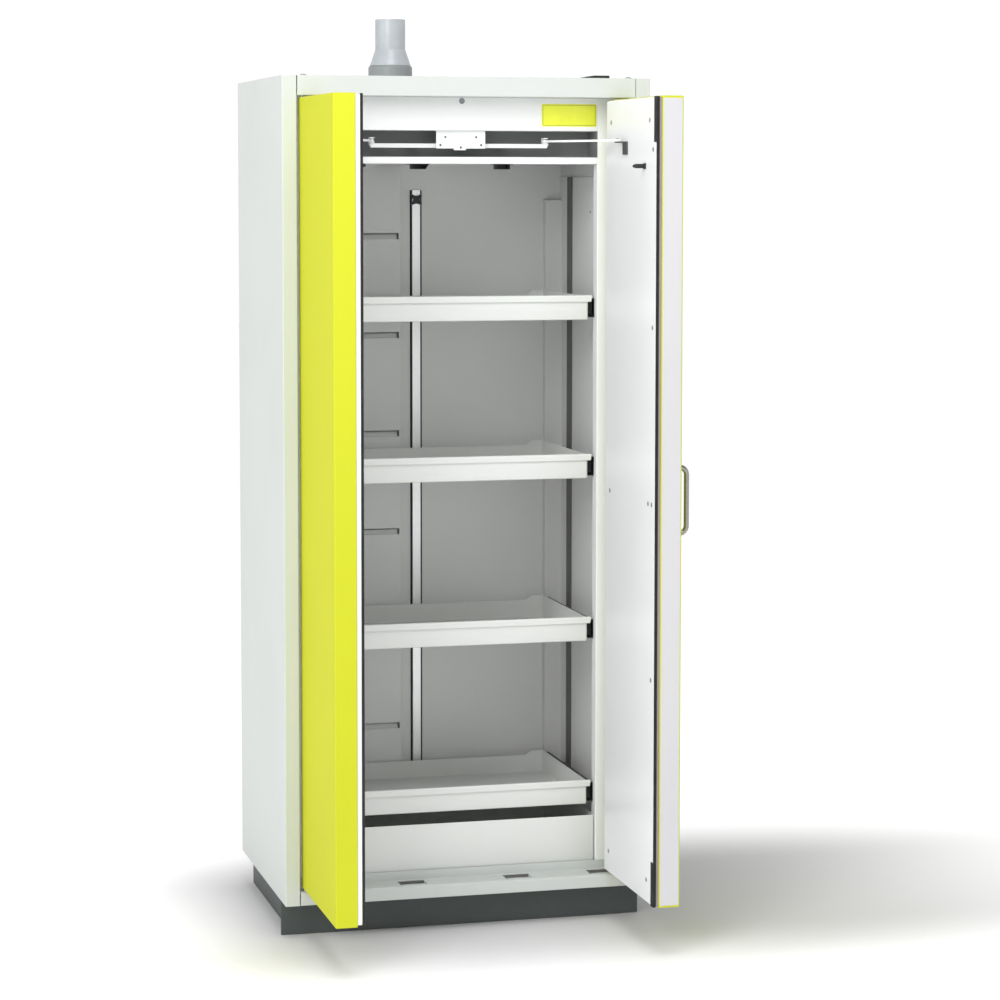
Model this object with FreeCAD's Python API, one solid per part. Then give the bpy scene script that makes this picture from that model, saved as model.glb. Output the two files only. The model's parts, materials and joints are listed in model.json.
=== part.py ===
import FreeCAD, Part
import os
from math import sqrt

Vector = FreeCAD.Vector
os.makedirs("parts", exist_ok=True)

# Two-wing flammable storage cabinet with pull-out trays, in millimetres
# X runs to the right, Y runs from the front to the back, Z runs up
# The origin is on the floor, in the middle of the footprint
# The doors stand open by a quarter turn and the trays are pushed in

# Casing
case_width = 876.0
case_depth = 608.0
total_height = 2005.0
plinth_height = 85.0
sheet = 1.2
strip_width = 34.5
fascia_height = 46.0
rear_flange = 25.0
rear_panel_inset = 3.0
side_wall = 71.0
rear_wall = 83.0
liner = 3.0
facing = 2.5
jamb_width = 73.5
jamb_depth = 34.0
sill_rail_height = 30.0
sill_step_height = 21.0
header_height = 75.5
recess_height = 62.5
recess_depth = 80.0
top_rail_height = 16.0

# Plinth and feet
cover_setback = 70.0
cover_thickness = 2.0
cover_side_inset = 1.0
cover_flange = 15.0
cover_air = 1.0
plinth_side_inset = 28.0
plinth_rear_inset = 3.0
plinth_flange = 25.0
plinth_wall = 2.5
plinth_air = 1.0
cross_setback = 15.0
cross_rise = 25.0
foot_seat_rise = 15.0
foot_inset = 75.0
foot_end_distance = 50.0
foot_radius = 20.0
foot_pad = 10.0
foot_stem_radius = 5.0
foot_nut = 5.0
foot_stem_gap = 0.3
foot_seat = 8.0

# Doors
skin_depth = 50.0
pan_depth = 11.5
seal_depth = 6.0
door_stop_gap = 0.7
pivot_inset = 12.5
pivot_setback = 5.5
hinge_edge_gap = 1.5
centre_gap = 7.0
door_top_gap = 4.5
door_bottom_gap = 10.0
pan_free_inset = 6.5
pan_hinge_inset = 8.0
pan_end_inset = 3.0
seal_overhang = 2.0
seal_width = 9.0
edge_seal_width = 6.5
gasket_width = 4.7
gasket_depth = 6.1
gasket_gap = 0.3
pad_length = 102.0
pad_width = 17.0
pad_thickness = 1.0
edge_strip_border = 3.0
edge_strip_end = 5.0
edge_strip_thickness = 0.5
pin_radius = 4.0
pin_length = 40.0
pin_clearance = 0.08
hinge_plate = 4.0
hinge_plate_width = 32.0
hinge_plate_depth = 30.0

# Screw heads on the inner face of each door
door_screw_radius = 5.5
door_screw_height = 1.2
screw_end_distance = 53.5
screw_hinge_distance = 32.5
screw_inner_inset = 49.0
screw_outer_inset = 23.0
screw_outer_pitch = 398.0
screw_outer_count = 4

# Grip on the right door
grip_length = 162.0
grip_radius = 6.0
grip_reach = 25.0
grip_corner = 17.0
grip_edge_distance = 43.0
grip_height = 922.0

# Closing arms between the doors and the guide rail
arm_pin_distance = 126.0
arm_pin_reach = 12.5
arm_level = 35.0
arm_thickness = 5.0
arm_width = 7.0
arm_eye_radius = 7.0
arm_pin_radius = 2.5
arm_pin_clearance = 0.08
arm_pin_top = 2.0
arm_end_gap = 8.0
arm_play = 0.3
lug_thickness = 3.0
lug_plate_height = 30.0
lug_plate_width = 31.0
lug_plate_shift = 24.0
lug_plate_thickness = 4.0
slider_length = 12.0
slider_depth = 14.0
slider_base = 3.0
slider_top = 2.5
slider_web = 2.0
slider_gap = 0.5
slider_room = 3.0
guide_setback = 30.8
guide_width = 14.0
guide_height = 10.0
guide_half_length = 217.0
guide_chamfer = 5.0
guide_foot_width = 20.0
guide_foot_height = 3.0

# Cover plate of the guide rail
cover_plate_width = 118.0
cover_plate_height = 41.5
cover_plate_setback = 10.8
cover_plate_thickness = 2.0
cover_plate_flange = 10.0
cover_plate_leg_width = 16.0
cover_plate_leg_height = 5.0
cover_tab_width = 29.0
cover_tab_height = 4.0
cover_tab_offset = -2.0
small_screw_radius = 2.6
small_screw_height = 1.2
upper_screw_spread = 37.0
upper_screw_drop = 15.0
lower_screw_spread = 49.0
lower_screw_drop = 33.5
tab_screw_drop = 39.0

# Screw heads on the rear panel, in two columns with two more between their ends
rear_screw_radius = 5.0
rear_screw_height = 1.2
rear_screw_inset = 12.0
rear_screw_rows = 7
rear_screw_inner_spread = 140.0

# Catches under the top rail and the tongues on the doors
catch_distance = 101.0
catch_width = 34.0
catch_depth = 26.0
catch_height = 12.5
catch_wall = 1.0
catch_side_wall = 2.0
catch_wing = 7.5
catch_setback = 6.0
tongue_thickness = 10.0
tongue_width = 9.0
tongue_point = 10.0
tongue_taper = 8.0
tongue_nose = 4.4
tongue_reach = 30.0
tongue_shift = 8.0
tongue_plate = 3.0
tongue_plate_margin = 3.0
tongue_plate_drop = 1.5

# Header parts and roof caps
notice_width = 134.0
notice_height = 53.0
notice_thickness = 0.5
notice_side_gap = 3.0
notice_top_gap = 13.0
plug_radius = 7.0
plug_drop = 8.0
plug_height = 0.5
cap_radius = 7.5
cap_height = 3.0
cap_inward = 4.0
cap_setback = 9.0

# Fittings of the storage space
facing_top_drop = 29.0
fitting_rise = 10.0
duct_right_edge = 50.0
duct_depth = 25.0
duct_wall = 2.0
slot_height = 15.0
slot_end_gap = 5.0
slot_left_gap = 40.0
slot_first_drop = 176.0
slot_pitch = 245.0
slot_count = 6
channel_centre = -6.0
channel_width = 30.0
channel_sink = 2.5
channel_top_drop = 62.0
channel_rail_width = 20.5
channel_rail_depth = 6.0
clip_drop = 72.0
clip_width = 26.0
clip_height = 28.0
clip_waist = 8.0
clip_notch = 4.0
clip_notch_half = 3.0
clip_thickness = 6.0
corner_duct_width = 44.0
corner_duct_depth = 22.0
corner_duct_drop = 87.0

# Trays and their runners
tray_first_rise = 152.0
tray_pitches = (396.0, 392.0, 378.5)
tray_height = 58.5
tray_side_drop = 2.0
tray_lip_height = 15.5
tray_lip_reach = 4.0
tray_lip_side = 3.5
tray_lip_rounding = 1.5
tray_front_gap = 13.8
tray_rear_gap = 38.0
tray_side_gap = 16.0
tray_wall = 1.2
tray_rear_drop = 13.5
tray_rear_margin = 30.0
runner_height = 45.0
runner_rear_gap = 41.0
runner_fit = 0.4
runner_web = 1.5
runner_rise = 6.0
runner_front_gap = 3.0
runner_jamb_gap = 1.0
runner_track = 5.0
runner_hook = 3.0
runner_mouth = 2.5
runner_step = 5.0
upright_width = 36.0
upright_thickness = 4.0
upright_front_setback = 13.0
upright_rear_setback = 115.0
bracket_margin = 3.0
bracket_height = 25.0
bracket_thickness = 2.5

# Collecting sump under the lowest tray
sump_height = 127.0
sump_front_gap = 5.0
sump_side_gap = 1.6
sump_rear_gap = 6.0
sump_wall = 1.5

# Pressed pockets in the sill
pocket_width = 66.0
pocket_depth = 42.0
pocket_sink = 8.0
pocket_front_gap = 18.0
pocket_positions = (128.0, 335.0)
pocket_wall = 1.0

# Exhaust connection
spigot_x = -78.0
spigot_rear_distance = 120.0
spigot_radius = 37.0
spigot_wall = 1.8
spigot_height = 155.0
spigot_cone_height = 38.0
spigot_cone_edge = 1.5
spigot_cone_radius = 50.0
collar_radius = 54.0
collar_height = 43.0
collar_chamfer = 3.8
flap_level = 108.0
flap_gap = 0.6
flap_thickness = 2.0
flap_shaft_radius = 2.5
flap_shaft_clearance = 0.08

# Flat housing on the roof
housing_side_distance = 83.0
housing_setback = 54.0
housing_width = 37.0
housing_depth = 60.0
housing_height = 8.0
housing_wedge = 33.0
housing_wedge_edge = 2.0

# Levels and planes worked out from the sizes above
reach = 1.0
half_width = case_width / 2
front = -case_depth / 2
rear = case_depth / 2
rear_panel_back = rear - rear_screw_height
flange_back = rear_panel_back - sheet
flange_front = flange_back - sheet
flange_edge = half_width - rear_flange
case_bottom = plinth_height
inner_width = half_width - sheet
opening_half = half_width - strip_width
fascia_bottom = total_height - fascia_height
pan_face = front + skin_depth + pan_depth
door_face = pan_face + seal_depth
frame_face = door_face + door_stop_gap
jamb_half = opening_half - jamb_width
jamb_back = frame_face + jamb_depth
inner_half = half_width - side_wall
inner_back = rear - rear_wall
ledge_level = case_bottom + sill_rail_height
step_level = ledge_level + sill_step_height
recess_top = fascia_bottom - header_height
recess_bottom = recess_top - recess_height
recess_back = frame_face + recess_depth
ceiling = recess_bottom - top_rail_height
floor_level = ledge_level + liner
door_top = fascia_bottom - door_top_gap
door_bottom = ledge_level + door_bottom_gap
pivot_x = opening_half - pivot_inset
pivot_y = front + pivot_setback
leaf_hinge_edge = opening_half - hinge_edge_gap
leaf_free_edge = centre_gap / 2
arm_bottom = recess_bottom + arm_level
arm_top = arm_bottom + arm_thickness
guide_y = frame_face + guide_setback
guide_top = arm_bottom - arm_play - slider_base - slider_gap
guide_bottom = guide_top - guide_height
fitting_bottom = floor_level + sump_height + fitting_rise
spigot_y = rear - spigot_rear_distance
tray_half = jamb_half - tray_side_gap
tray_front = frame_face + tray_front_gap
rail_outside = jamb_half - runner_jamb_gap
runner_front = tray_front + tray_lip_reach + runner_front_gap
tray_back = inner_back - tray_rear_gap
runner_back = inner_back - runner_rear_gap
arm_open_reach = guide_half_length - arm_end_gap


def block(x0, x1, y0, y1, z0, z1):
    """A box between two corners."""
    return Part.makeBox(x1 - x0, y1 - y0, z1 - z0, Vector(x0, y0, z0))


def wide(half, y0, y1, z0, z1):
    """A box as wide to the left as to the right."""
    return block(-half, half, y0, y1, z0, z1)


def post(x, y, z0, z1, radius):
    """An upright cylinder."""
    return Part.makeCylinder(radius, z1 - z0, Vector(x, y, z0))


def bar_along_y(x, y0, y1, z, radius):
    """A cylinder that runs from front to back."""
    return Part.makeCylinder(radius, y1 - y0, Vector(x, y0, z), Vector(0, 1, 0))


def bar_along_x(x0, x1, y, z, radius):
    """A cylinder that runs from left to right."""
    return Part.makeCylinder(radius, x1 - x0, Vector(x0, y, z), Vector(1, 0, 0))


def joined(*shapes):
    """Several shapes as one solid."""
    return shapes[0].fuse(list(shapes[1:])).removeSplitter()


def mirrored(shape):
    """The same shape on the other side of the middle plane."""
    return shape.mirror(Vector(0, 0, 0), Vector(1, 0, 0))


def pair(shape):
    """A shape and its mirror image, as separate solids."""
    return [shape, mirrored(shape)]


def prism(points, direction):
    """A closed outline carried along a direction."""
    wire = Part.makePolygon(points + points[:1])
    return Part.Face(wire).extrude(direction)


def save(name, *shapes):
    """Write one node, made of one or more separate solids."""
    shape = shapes[0] if len(shapes) == 1 else Part.makeCompound(list(shapes))
    shape.exportStep(f"parts/{name}.step")


# Plinth: a front cover, a welded frame behind it and four levelling feet
def make_plinth():
    cover_front = front + cover_setback
    cover_back = cover_front + cover_thickness
    cover_half = half_width - cover_side_inset
    outer = half_width - plinth_side_inset
    inner = outer - plinth_flange
    web = outer - plinth_wall
    flange_low = case_bottom - cover_thickness
    save("plinth_front_cover", joined(
        wide(cover_half, cover_front, cover_back, cover_air, case_bottom),
        wide(inner, cover_back, cover_back + cover_flange, flange_low, case_bottom),
    ))

    back = rear - plinth_rear_inset
    low = plinth_air
    cross_front = cover_back + cross_setback
    cross_low = low + cross_rise
    side = block(web, outer, cover_back, back, low, case_bottom)
    frame = joined(
        side,
        mirrored(side),
        wide(web, back - plinth_wall, back, low, case_bottom),
        wide(web, cross_front, cross_front + plinth_flange, cross_low, flange_low),
    )
    for z0, z1 in ((low, low + plinth_wall), (case_bottom - plinth_wall, case_bottom)):
        flange = block(inner, outer, cover_back + cover_flange, back, z0, z1)
        frame = joined(frame, flange, mirrored(flange), wide(inner, back - plinth_flange, back, z0, z1))
    seat_low = low + foot_seat_rise
    foot_x = half_width - foot_inset
    feet = []
    for foot_y in (cover_back + foot_end_distance, back - foot_end_distance):
        seat = block(foot_x - foot_radius, web, foot_y - foot_radius, foot_y + foot_radius,
                     seat_low, seat_low + foot_seat)
        hole = post(foot_x, foot_y, low, seat_low + foot_seat + reach, foot_stem_radius + foot_stem_gap)
        frame = joined(frame, seat, mirrored(seat)).cut(pair(hole))
        foot = joined(
            post(foot_x, foot_y, 0.0, foot_pad, foot_radius),
            post(foot_x, foot_y, foot_pad, cross_low, foot_stem_radius),
            post(foot_x, foot_y, seat_low - foot_nut, seat_low, 2 * foot_stem_radius),
        )
        feet += pair(foot)
    save("plinth_frame", frame)
    save("levelling_feet", *feet)


def exhaust_hole(z0, z1):
    """The round way for exhaust air through the roof and its lining."""
    return post(spigot_x, spigot_y, z0 - reach, z1 + reach, spigot_radius)


# Outer steel casing
def make_casing():
    roof_low = total_height - sheet
    floor_high = case_bottom + sheet
    side = joined(
        block(inner_width, half_width, front, flange_back, case_bottom, total_height),
        block(opening_half, half_width, front, front + sheet, case_bottom, total_height),
        block(opening_half, opening_half + sheet, front, frame_face + sheet, floor_high, roof_low),
        block(flange_edge, half_width, flange_front, flange_back, floor_high, roof_low),
    )
    save("side_panel_right", side)
    save("side_panel_left", mirrored(side))

    roof = joined(
        wide(inner_width, front + sheet, flange_back, roof_low, total_height),
        wide(flange_edge, flange_front, flange_back, total_height - rear_flange, total_height),
    )
    save("top_panel", roof.cut(exhaust_hole(roof_low, total_height)))
    back = wide(half_width - rear_panel_inset, flange_back, rear_panel_back, case_bottom + rear_panel_inset,
                total_height - rear_panel_inset)
    base = joined(
        wide(inner_width, front + sheet, flange_back, case_bottom, floor_high),
        wide(flange_edge, flange_front, flange_back, case_bottom, case_bottom + rear_flange),
    )
    save("rear_and_bottom_panels", back, base)

    fascia = joined(
        wide(opening_half, front, front + sheet, fascia_bottom, total_height),
        wide(opening_half, front, frame_face, fascia_bottom, fascia_bottom + sheet),
    )
    hole = post(pivot_x, pivot_y, fascia_bottom - reach, fascia_bottom + sheet + reach,
                pin_radius + pin_clearance)
    save("front_fascia", fascia.cut(pair(hole)))


# Insulating boards between the casing and the liner
def make_insulation():
    low = case_bottom + sheet
    high = total_height - sheet
    lined_half = inner_half + liner
    lined_back = inner_back + liner
    side = block(lined_half, inner_width, jamb_back, lined_back, low, high)
    back = wide(inner_width, lined_back, flange_front, low, high)
    top = wide(lined_half, recess_back + sheet, lined_back, ceiling + liner, high)
    brow = wide(jamb_half - sheet, frame_face + sheet, recess_back + sheet, recess_top, high)
    bottom = wide(lined_half, jamb_back, lined_back, low, ledge_level)
    hole = exhaust_hole(ceiling, high)
    save("insulation_boards", side, mirrored(side), back.cut(hole), top.cut(hole), brow, bottom)


# Liner of the storage space
def make_liner():
    low = ledge_level
    lined_half = inner_half + liner
    lined_back = inner_back + liner
    base = wide(lined_half, jamb_back, lined_back, low, floor_level)
    side = joined(
        block(inner_half + facing, lined_half, jamb_back, inner_back, floor_level, ceiling),
        block(inner_half, inner_half + facing, jamb_back, inner_back, floor_level, ceiling - facing_top_drop),
    )
    roof = wide(lined_half, jamb_back, lined_back, ceiling, ceiling + liner)
    roof = roof.cut(wide(jamb_half, jamb_back - reach, recess_back, ceiling - reach, recess_top))
    roof = roof.cut(exhaust_hole(ceiling, ceiling + liner))

    back = wide(lined_half, inner_back, lined_back, floor_level, ceiling)
    slot_left = channel_centre - channel_width / 2
    slot_right = channel_centre + channel_width / 2
    slot_top = ceiling - channel_top_drop
    slot = block(slot_left, slot_right, inner_back - reach, inner_back + channel_sink,
                 fitting_bottom, slot_top)
    save("liner_panels", side, mirrored(side), roof, base, back.cut(slot))


# Front frame round the opening: jambs, sill and header
def make_front_frame():
    jamb = joined(
        block(jamb_half, opening_half, frame_face, frame_face + sheet, ledge_level, fascia_bottom),
        block(jamb_half, jamb_half + sheet, frame_face, jamb_back, ledge_level, fascia_bottom),
        block(jamb_half, inner_half + liner, jamb_back - sheet, jamb_back, ledge_level, ceiling),
    )
    step = block(0.0, half_width, frame_face - reach, frame_face + sheet, ledge_level - reach, step_level)
    save("front_jambs", *pair(jamb.cut(step)))

    sill = joined(
        wide(opening_half, front, front + sheet, case_bottom + sheet, ledge_level),
        wide(opening_half, front, frame_face + sheet, ledge_level - sheet, ledge_level),
        wide(opening_half, frame_face, frame_face + sheet, ledge_level - sheet, step_level),
    )
    y0 = front + pocket_front_gap
    y1 = y0 + pocket_depth
    low = ledge_level - pocket_sink
    for x in pocket_positions:
        x0 = x - pocket_width / 2
        x1 = x + pocket_width / 2
        cup = block(x0, x1, y0, y1, low, ledge_level)
        hollow = block(x0 + pocket_wall, x1 - pocket_wall, y0 + pocket_wall, y1 - pocket_wall,
                       low + pocket_wall, ledge_level + reach)
        sill = joined(sill, *pair(cup)).cut(pair(hollow))
    save("threshold_sill", sill)

    save("header_panel", joined(
        wide(jamb_half, frame_face, frame_face + sheet, recess_top, fascia_bottom),
        wide(jamb_half, frame_face, recess_back, recess_top - sheet, recess_top),
    ))

    notice_right = jamb_half - notice_side_gap
    notice_high = fascia_bottom - notice_top_gap
    save("notice_plate", block(notice_right - notice_width, notice_right, frame_face - notice_thickness,
                               frame_face, notice_high - notice_height, notice_high))

    plug = bar_along_y(0.0, frame_face - plug_height, frame_face, fascia_bottom - plug_drop, plug_radius)
    cap = post(pivot_x - cap_inward, front + cap_setback, total_height, total_height + cap_height, cap_radius)
    save("cover_caps", plug, *pair(cap))


def rear_screw_spots():
    """Places of the screw heads on the rear panel, each in the middle of a flange."""
    x = half_width - rear_screw_inset
    low = case_bottom + rear_screw_inset
    high = total_height - rear_screw_inset
    pitch = (high - low) / (rear_screw_rows - 1)
    spots = [(side * x, low + pitch * row) for side in (-1, 1) for row in range(rear_screw_rows)]
    return spots + [(side * rear_screw_inner_spread, z) for side in (-1, 1) for z in (low, high)]


# Open recess over the storage space, with the guide rail and its cover plate
def make_recess():
    high = recess_top - sheet
    box = wide(jamb_half, frame_face, recess_back, recess_bottom, high)
    hollow = wide(jamb_half - sheet, frame_face - reach, recess_back - sheet,
                  recess_bottom + sheet, recess_top)
    save("mechanism_recess", box.cut(hollow))
    hollow = wide(jamb_half - sheet, frame_face + sheet, recess_back - sheet, ceiling + sheet,
                  recess_bottom + reach)
    save("inner_top_rail", wide(jamb_half, frame_face, recess_back, ceiling, recess_bottom).cut(hollow))

    guide_front = guide_y - guide_width / 2
    lower_half = guide_half_length - guide_chamfer
    outline = [(-guide_half_length, guide_top), (guide_half_length, guide_top),
               (lower_half, guide_bottom), (-lower_half, guide_bottom)]
    rail = prism([Vector(x, guide_front, z) for x, z in outline], Vector(0, guide_width, 0))
    x = guide_half_length / 2
    foot = block(x - guide_foot_width / 2, x + guide_foot_width / 2, guide_y, recess_back - sheet,
                 guide_bottom, guide_bottom + guide_foot_height)
    save("guide_rail", joined(rail, *pair(foot)))

    plate_front = frame_face + cover_plate_setback
    plate_back = plate_front + cover_plate_thickness
    half = cover_plate_width / 2
    low = high - cover_plate_height
    tab_left = cover_tab_offset - cover_tab_width / 2
    leg = cover_plate_leg_width / 2
    save("guide_cover_plate", joined(
        wide(half, plate_front, plate_back, low, high),
        block(tab_left, tab_left + cover_tab_width, plate_front, plate_back, low - cover_tab_height, low),
        wide(half, plate_front, plate_back + cover_plate_flange, high - cover_plate_thickness, high),
        wide(leg, plate_back, guide_front, guide_bottom, guide_bottom + cover_plate_leg_height),
    ))

    spots = [(0.0, tab_screw_drop)]
    for side in (-1, 1):
        spots.append((side * upper_screw_spread, upper_screw_drop))
        spots.append((side * lower_screw_spread, lower_screw_drop))
    screw_front = plate_front - small_screw_height
    heads = [bar_along_y(x, screw_front, plate_front, high - drop, small_screw_radius) for x, drop in spots]
    heads += [bar_along_y(x, rear_panel_back, rear, z, rear_screw_radius) for x, z in rear_screw_spots()]
    save("panel_screws", *heads)

    x0 = catch_distance - catch_width / 2
    x1 = catch_distance + catch_width / 2
    y0 = frame_face + catch_setback
    y1 = y0 + catch_depth
    low = ceiling - catch_height
    catch = joined(
        block(x0, x1, y0, y1, low, ceiling),
        block(x0 - catch_wing, x1 + catch_wing, y0, y1, ceiling - catch_wall, ceiling),
    )
    slot = block(x0 + catch_side_wall, x1 - catch_side_wall, y0 - reach, y1 - catch_wall,
                 low + catch_wall, ceiling - catch_wall)
    save("door_catches", *pair(catch.cut(slot)))


# Fittings of the storage space: exhaust duct, rear channel and corner duct
def make_inner_fittings():
    left = -inner_half
    right = -duct_right_edge
    y0 = inner_back - duct_depth
    hollow = block(left + duct_wall, right - duct_wall, y0 + duct_wall, inner_back + reach,
                   fitting_bottom + duct_wall, ceiling + reach)
    duct = block(left, right, y0, inner_back, fitting_bottom, ceiling).cut(hollow)
    for index in range(slot_count):
        level = ceiling - slot_first_drop - slot_pitch * index
        duct = duct.cut(block(left + slot_left_gap, right - slot_end_gap, y0 - reach, y0 + duct_wall + reach,
                              level - slot_height / 2, level + slot_height / 2))
    save("exhaust_duct_panel", duct)

    x0 = channel_centre - channel_rail_width / 2
    rail_front = inner_back - channel_rail_depth
    rail = block(x0, x0 + channel_rail_width, rail_front, inner_back + channel_sink,
                 fitting_bottom, ceiling - channel_top_drop)

    high = ceiling - clip_drop
    low = high - clip_height
    middle = (low + high) / 2
    half = clip_width / 2
    quarter = [(clip_notch_half, high - clip_notch), (half, high),
               (half, middle + clip_waist), (clip_waist, middle)]
    right_side = quarter + [(x, low + high - z) for x, z in reversed(quarter[:-1])]
    outline = right_side + [(-x, z) for x, z in reversed(right_side)]
    points = [Vector(channel_centre + x, rail_front - clip_thickness, z) for x, z in outline]
    save("rear_channel_rail_and_clip", rail, prism(points, Vector(0, clip_thickness, 0)))

    x0 = inner_half - corner_duct_width
    y0 = inner_back - corner_duct_depth
    top = ceiling - corner_duct_drop
    hollow = block(x0 + sheet, inner_half + reach, y0 + sheet, inner_back + reach,
                   fitting_bottom + sheet, top - sheet)
    save("corner_duct", block(x0, inner_half, y0, inner_back, fitting_bottom, top).cut(hollow))


def tray_bottoms():
    """The underside level of each tray, from the lowest up."""
    levels = [floor_level + tray_first_rise]
    for pitch in tray_pitches:
        levels.append(levels[-1] + pitch)
    return levels


def fixed_rail(low):
    """The outer member of one runner: a web with a lip above and below."""
    y1 = runner_back
    high = low + runner_height
    inner = tray_half + runner_mouth
    return joined(
        block(rail_outside - runner_web, rail_outside, runner_front, y1, low, high),
        block(inner, rail_outside, runner_front, y1, high - runner_web, high),
        block(inner, rail_outside, runner_front, y1, low, low + runner_web),
    )


def middle_rail(low):
    """The travelling member: an I shape that runs inside the outer member."""
    y1 = runner_back - runner_step
    lip = runner_web + runner_fit
    bottom = low + lip
    top = low + runner_height - lip
    outer = rail_outside - lip
    web = outer - runner_track
    return joined(
        block(web, web + runner_web, runner_front, y1, bottom, top),
        block(web - runner_hook, outer, runner_front, y1, top - runner_web, top),
        block(web - runner_hook, outer, runner_front, y1, bottom, bottom + runner_web),
    )


def inner_rail(low):
    """The member screwed to the tray: a flat bar inside the travelling member."""
    inset = 2 * (runner_web + runner_fit) + runner_hook
    web = rail_outside - runner_web - runner_fit - runner_track
    return block(tray_half, web - runner_fit, runner_front, runner_back - 2 * runner_step,
                 low + inset, low + runner_height - inset)


# Uprights on the side walls, with a bracket to each fixed rail
def make_runners():
    levels = [bottom + runner_rise for bottom in tray_bottoms()]
    wall = inner_half - upright_thickness
    uprights = []
    for y0 in (jamb_back + upright_front_setback, inner_back - upright_rear_setback):
        arm_front = y0 + bracket_margin
        arm_back = y0 + upright_width - bracket_margin
        shapes = [block(wall, inner_half, y0, y0 + upright_width, floor_level, ceiling - facing_top_drop)]
        for low in levels:
            middle = low + runner_height / 2
            shapes.append(block(rail_outside, wall, arm_front, arm_back,
                                middle - bracket_thickness, middle + bracket_thickness))
            shapes.append(block(rail_outside, rail_outside + bracket_thickness, arm_front, arm_back,
                                middle - bracket_height / 2, middle + bracket_height / 2))
        uprights += pair(joined(*shapes))
    save("runner_uprights", *uprights)

    rails = []
    for low in levels:
        rails += pair(fixed_rail(low))
    save("runner_fixed_rails", *rails)


def tray_pan(bottom):
    """A folded pan with a taller front and a wide rounded lip along its top."""
    top = bottom + tray_height
    body_front = tray_front + tray_lip_reach
    inner_front = body_front + tray_wall
    back = tray_back
    side_top = top - tray_side_drop
    hollow = wide(tray_half - tray_wall, inner_front, back - tray_wall, bottom + tray_wall, top + reach)
    rear_cut = wide(tray_half - tray_rear_margin, back - 2 * tray_wall, back + reach,
                    top - tray_rear_drop, top + reach)
    pan = wide(tray_half, body_front, back, bottom, side_top).cut([hollow, rear_cut])
    lip = wide(tray_half + tray_lip_side, tray_front, inner_front, top - tray_lip_height, top)
    rounded = [edge for edge in lip.Edges if edge.BoundBox.YMax < tray_front + reach / 10]
    lip = lip.makeFillet(tray_lip_rounding, rounded)
    return joined(pan, wide(tray_half, body_front, inner_front, bottom, top), lip)


# Trays, numbered from the top, each with its own travelling rails
def make_trays():
    for number, bottom in enumerate(reversed(tray_bottoms()), 1):
        low = bottom + runner_rise
        save(f"tray_{number}", tray_pan(bottom), *pair(inner_rail(low)))
        save(f"tray_{number}_middle_rails", *pair(middle_rail(low)))

    half = jamb_half - sump_side_gap
    y0 = frame_face + sump_front_gap
    y1 = inner_back - sump_rear_gap
    top = floor_level + sump_height
    hollow = wide(half - sump_wall, y0 + sump_wall, y1 - sump_wall, floor_level + sump_wall, top + reach)
    save("sump_pan", wide(half, y0, y1, floor_level, top).cut(hollow))


# Exhaust connection on the roof with its closing flap
def make_exhaust():
    collar_top = total_height + collar_height
    collar = post(spigot_x, spigot_y, total_height, collar_top, collar_radius)
    rim = [edge for edge in collar.Edges if edge.BoundBox.ZMin > collar_top - reach / 10]
    collar = collar.makeChamfer(collar_chamfer, rim)
    save("exhaust_collar", collar.cut(exhaust_hole(total_height, collar_top)))

    bore = spigot_radius - spigot_wall
    cone_bore = spigot_cone_radius - spigot_wall
    cone_low = collar_top + spigot_cone_edge
    cone_high = collar_top + spigot_cone_height
    top = total_height + spigot_height
    outline = [(spigot_cone_radius, collar_top), (spigot_cone_radius, cone_low), (spigot_radius, cone_high),
               (spigot_radius, top), (bore, top), (bore, cone_high), (cone_bore, cone_low),
               (cone_bore, collar_top)]
    points = [Vector(spigot_x + radius, spigot_y, level) for radius, level in outline]
    wire = Part.makePolygon(points + points[:1])
    spigot = Part.Face(wire).revolve(Vector(spigot_x, spigot_y, 0), Vector(0, 0, 1), 360)
    level = total_height + flap_level
    left = spigot_x - spigot_radius
    right = spigot_x + spigot_radius
    hole = bar_along_x(left - reach, right + reach, spigot_y, level, flap_shaft_radius + flap_shaft_clearance)
    save("exhaust_spigot", spigot.cut(hole))

    half = flap_thickness / 2
    save("exhaust_flap", joined(
        bar_along_y(spigot_x, spigot_y - half, spigot_y + half, level, bore - flap_gap),
        bar_along_x(left, right, spigot_y, level, flap_shaft_radius),
    ))

    x0 = half_width - housing_side_distance - housing_width
    x1 = x0 + housing_width
    y0 = front + housing_setback
    high = total_height + housing_height
    outline = [(x0 - housing_wedge, total_height), (x1, total_height), (x1, high), (x0, high),
               (x0 - housing_wedge, total_height + housing_wedge_edge)]
    save("roof_housing", prism([Vector(x, y0, z) for x, z in outline], Vector(0, housing_depth, 0)))


def opened(shape):
    """Turn a shape of the right door from closed to a quarter turn open."""
    turned = shape.copy()
    turned.rotate(Vector(pivot_x, pivot_y, 0), Vector(0, 0, 1), 90)
    return turned


def pin_holes():
    """Room for the hinge pins at both ends of a leaf."""
    radius = pin_radius + pin_clearance
    return [
        post(pivot_x, pivot_y, door_bottom - reach, door_bottom + pin_length + reach, radius),
        post(pivot_x, pivot_y, door_top - pin_length - reach, door_top + reach, radius),
    ]


def leaf_skin():
    """The outer steel pan of the right leaf, hollow towards the storage space."""
    y1 = front + skin_depth
    outer = block(leaf_free_edge, leaf_hinge_edge, front, y1, door_bottom, door_top)
    hollow = block(leaf_free_edge + sheet, leaf_hinge_edge - sheet, front + sheet, y1 + reach,
                   door_bottom + sheet, door_top - sheet)
    return outer.cut(hollow).cut(pin_holes())


def leaf_core():
    """The fire board that fills the outer and the inner pan."""
    y1 = front + skin_depth
    core = joined(
        block(leaf_free_edge + sheet, leaf_hinge_edge - sheet, front + sheet, y1,
              door_bottom + sheet, door_top - sheet),
        block(pan_left + sheet, pan_right - sheet, y1, pan_face - sheet, pan_bottom + sheet, pan_top - sheet),
    )
    return core.cut(pin_holes())


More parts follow.
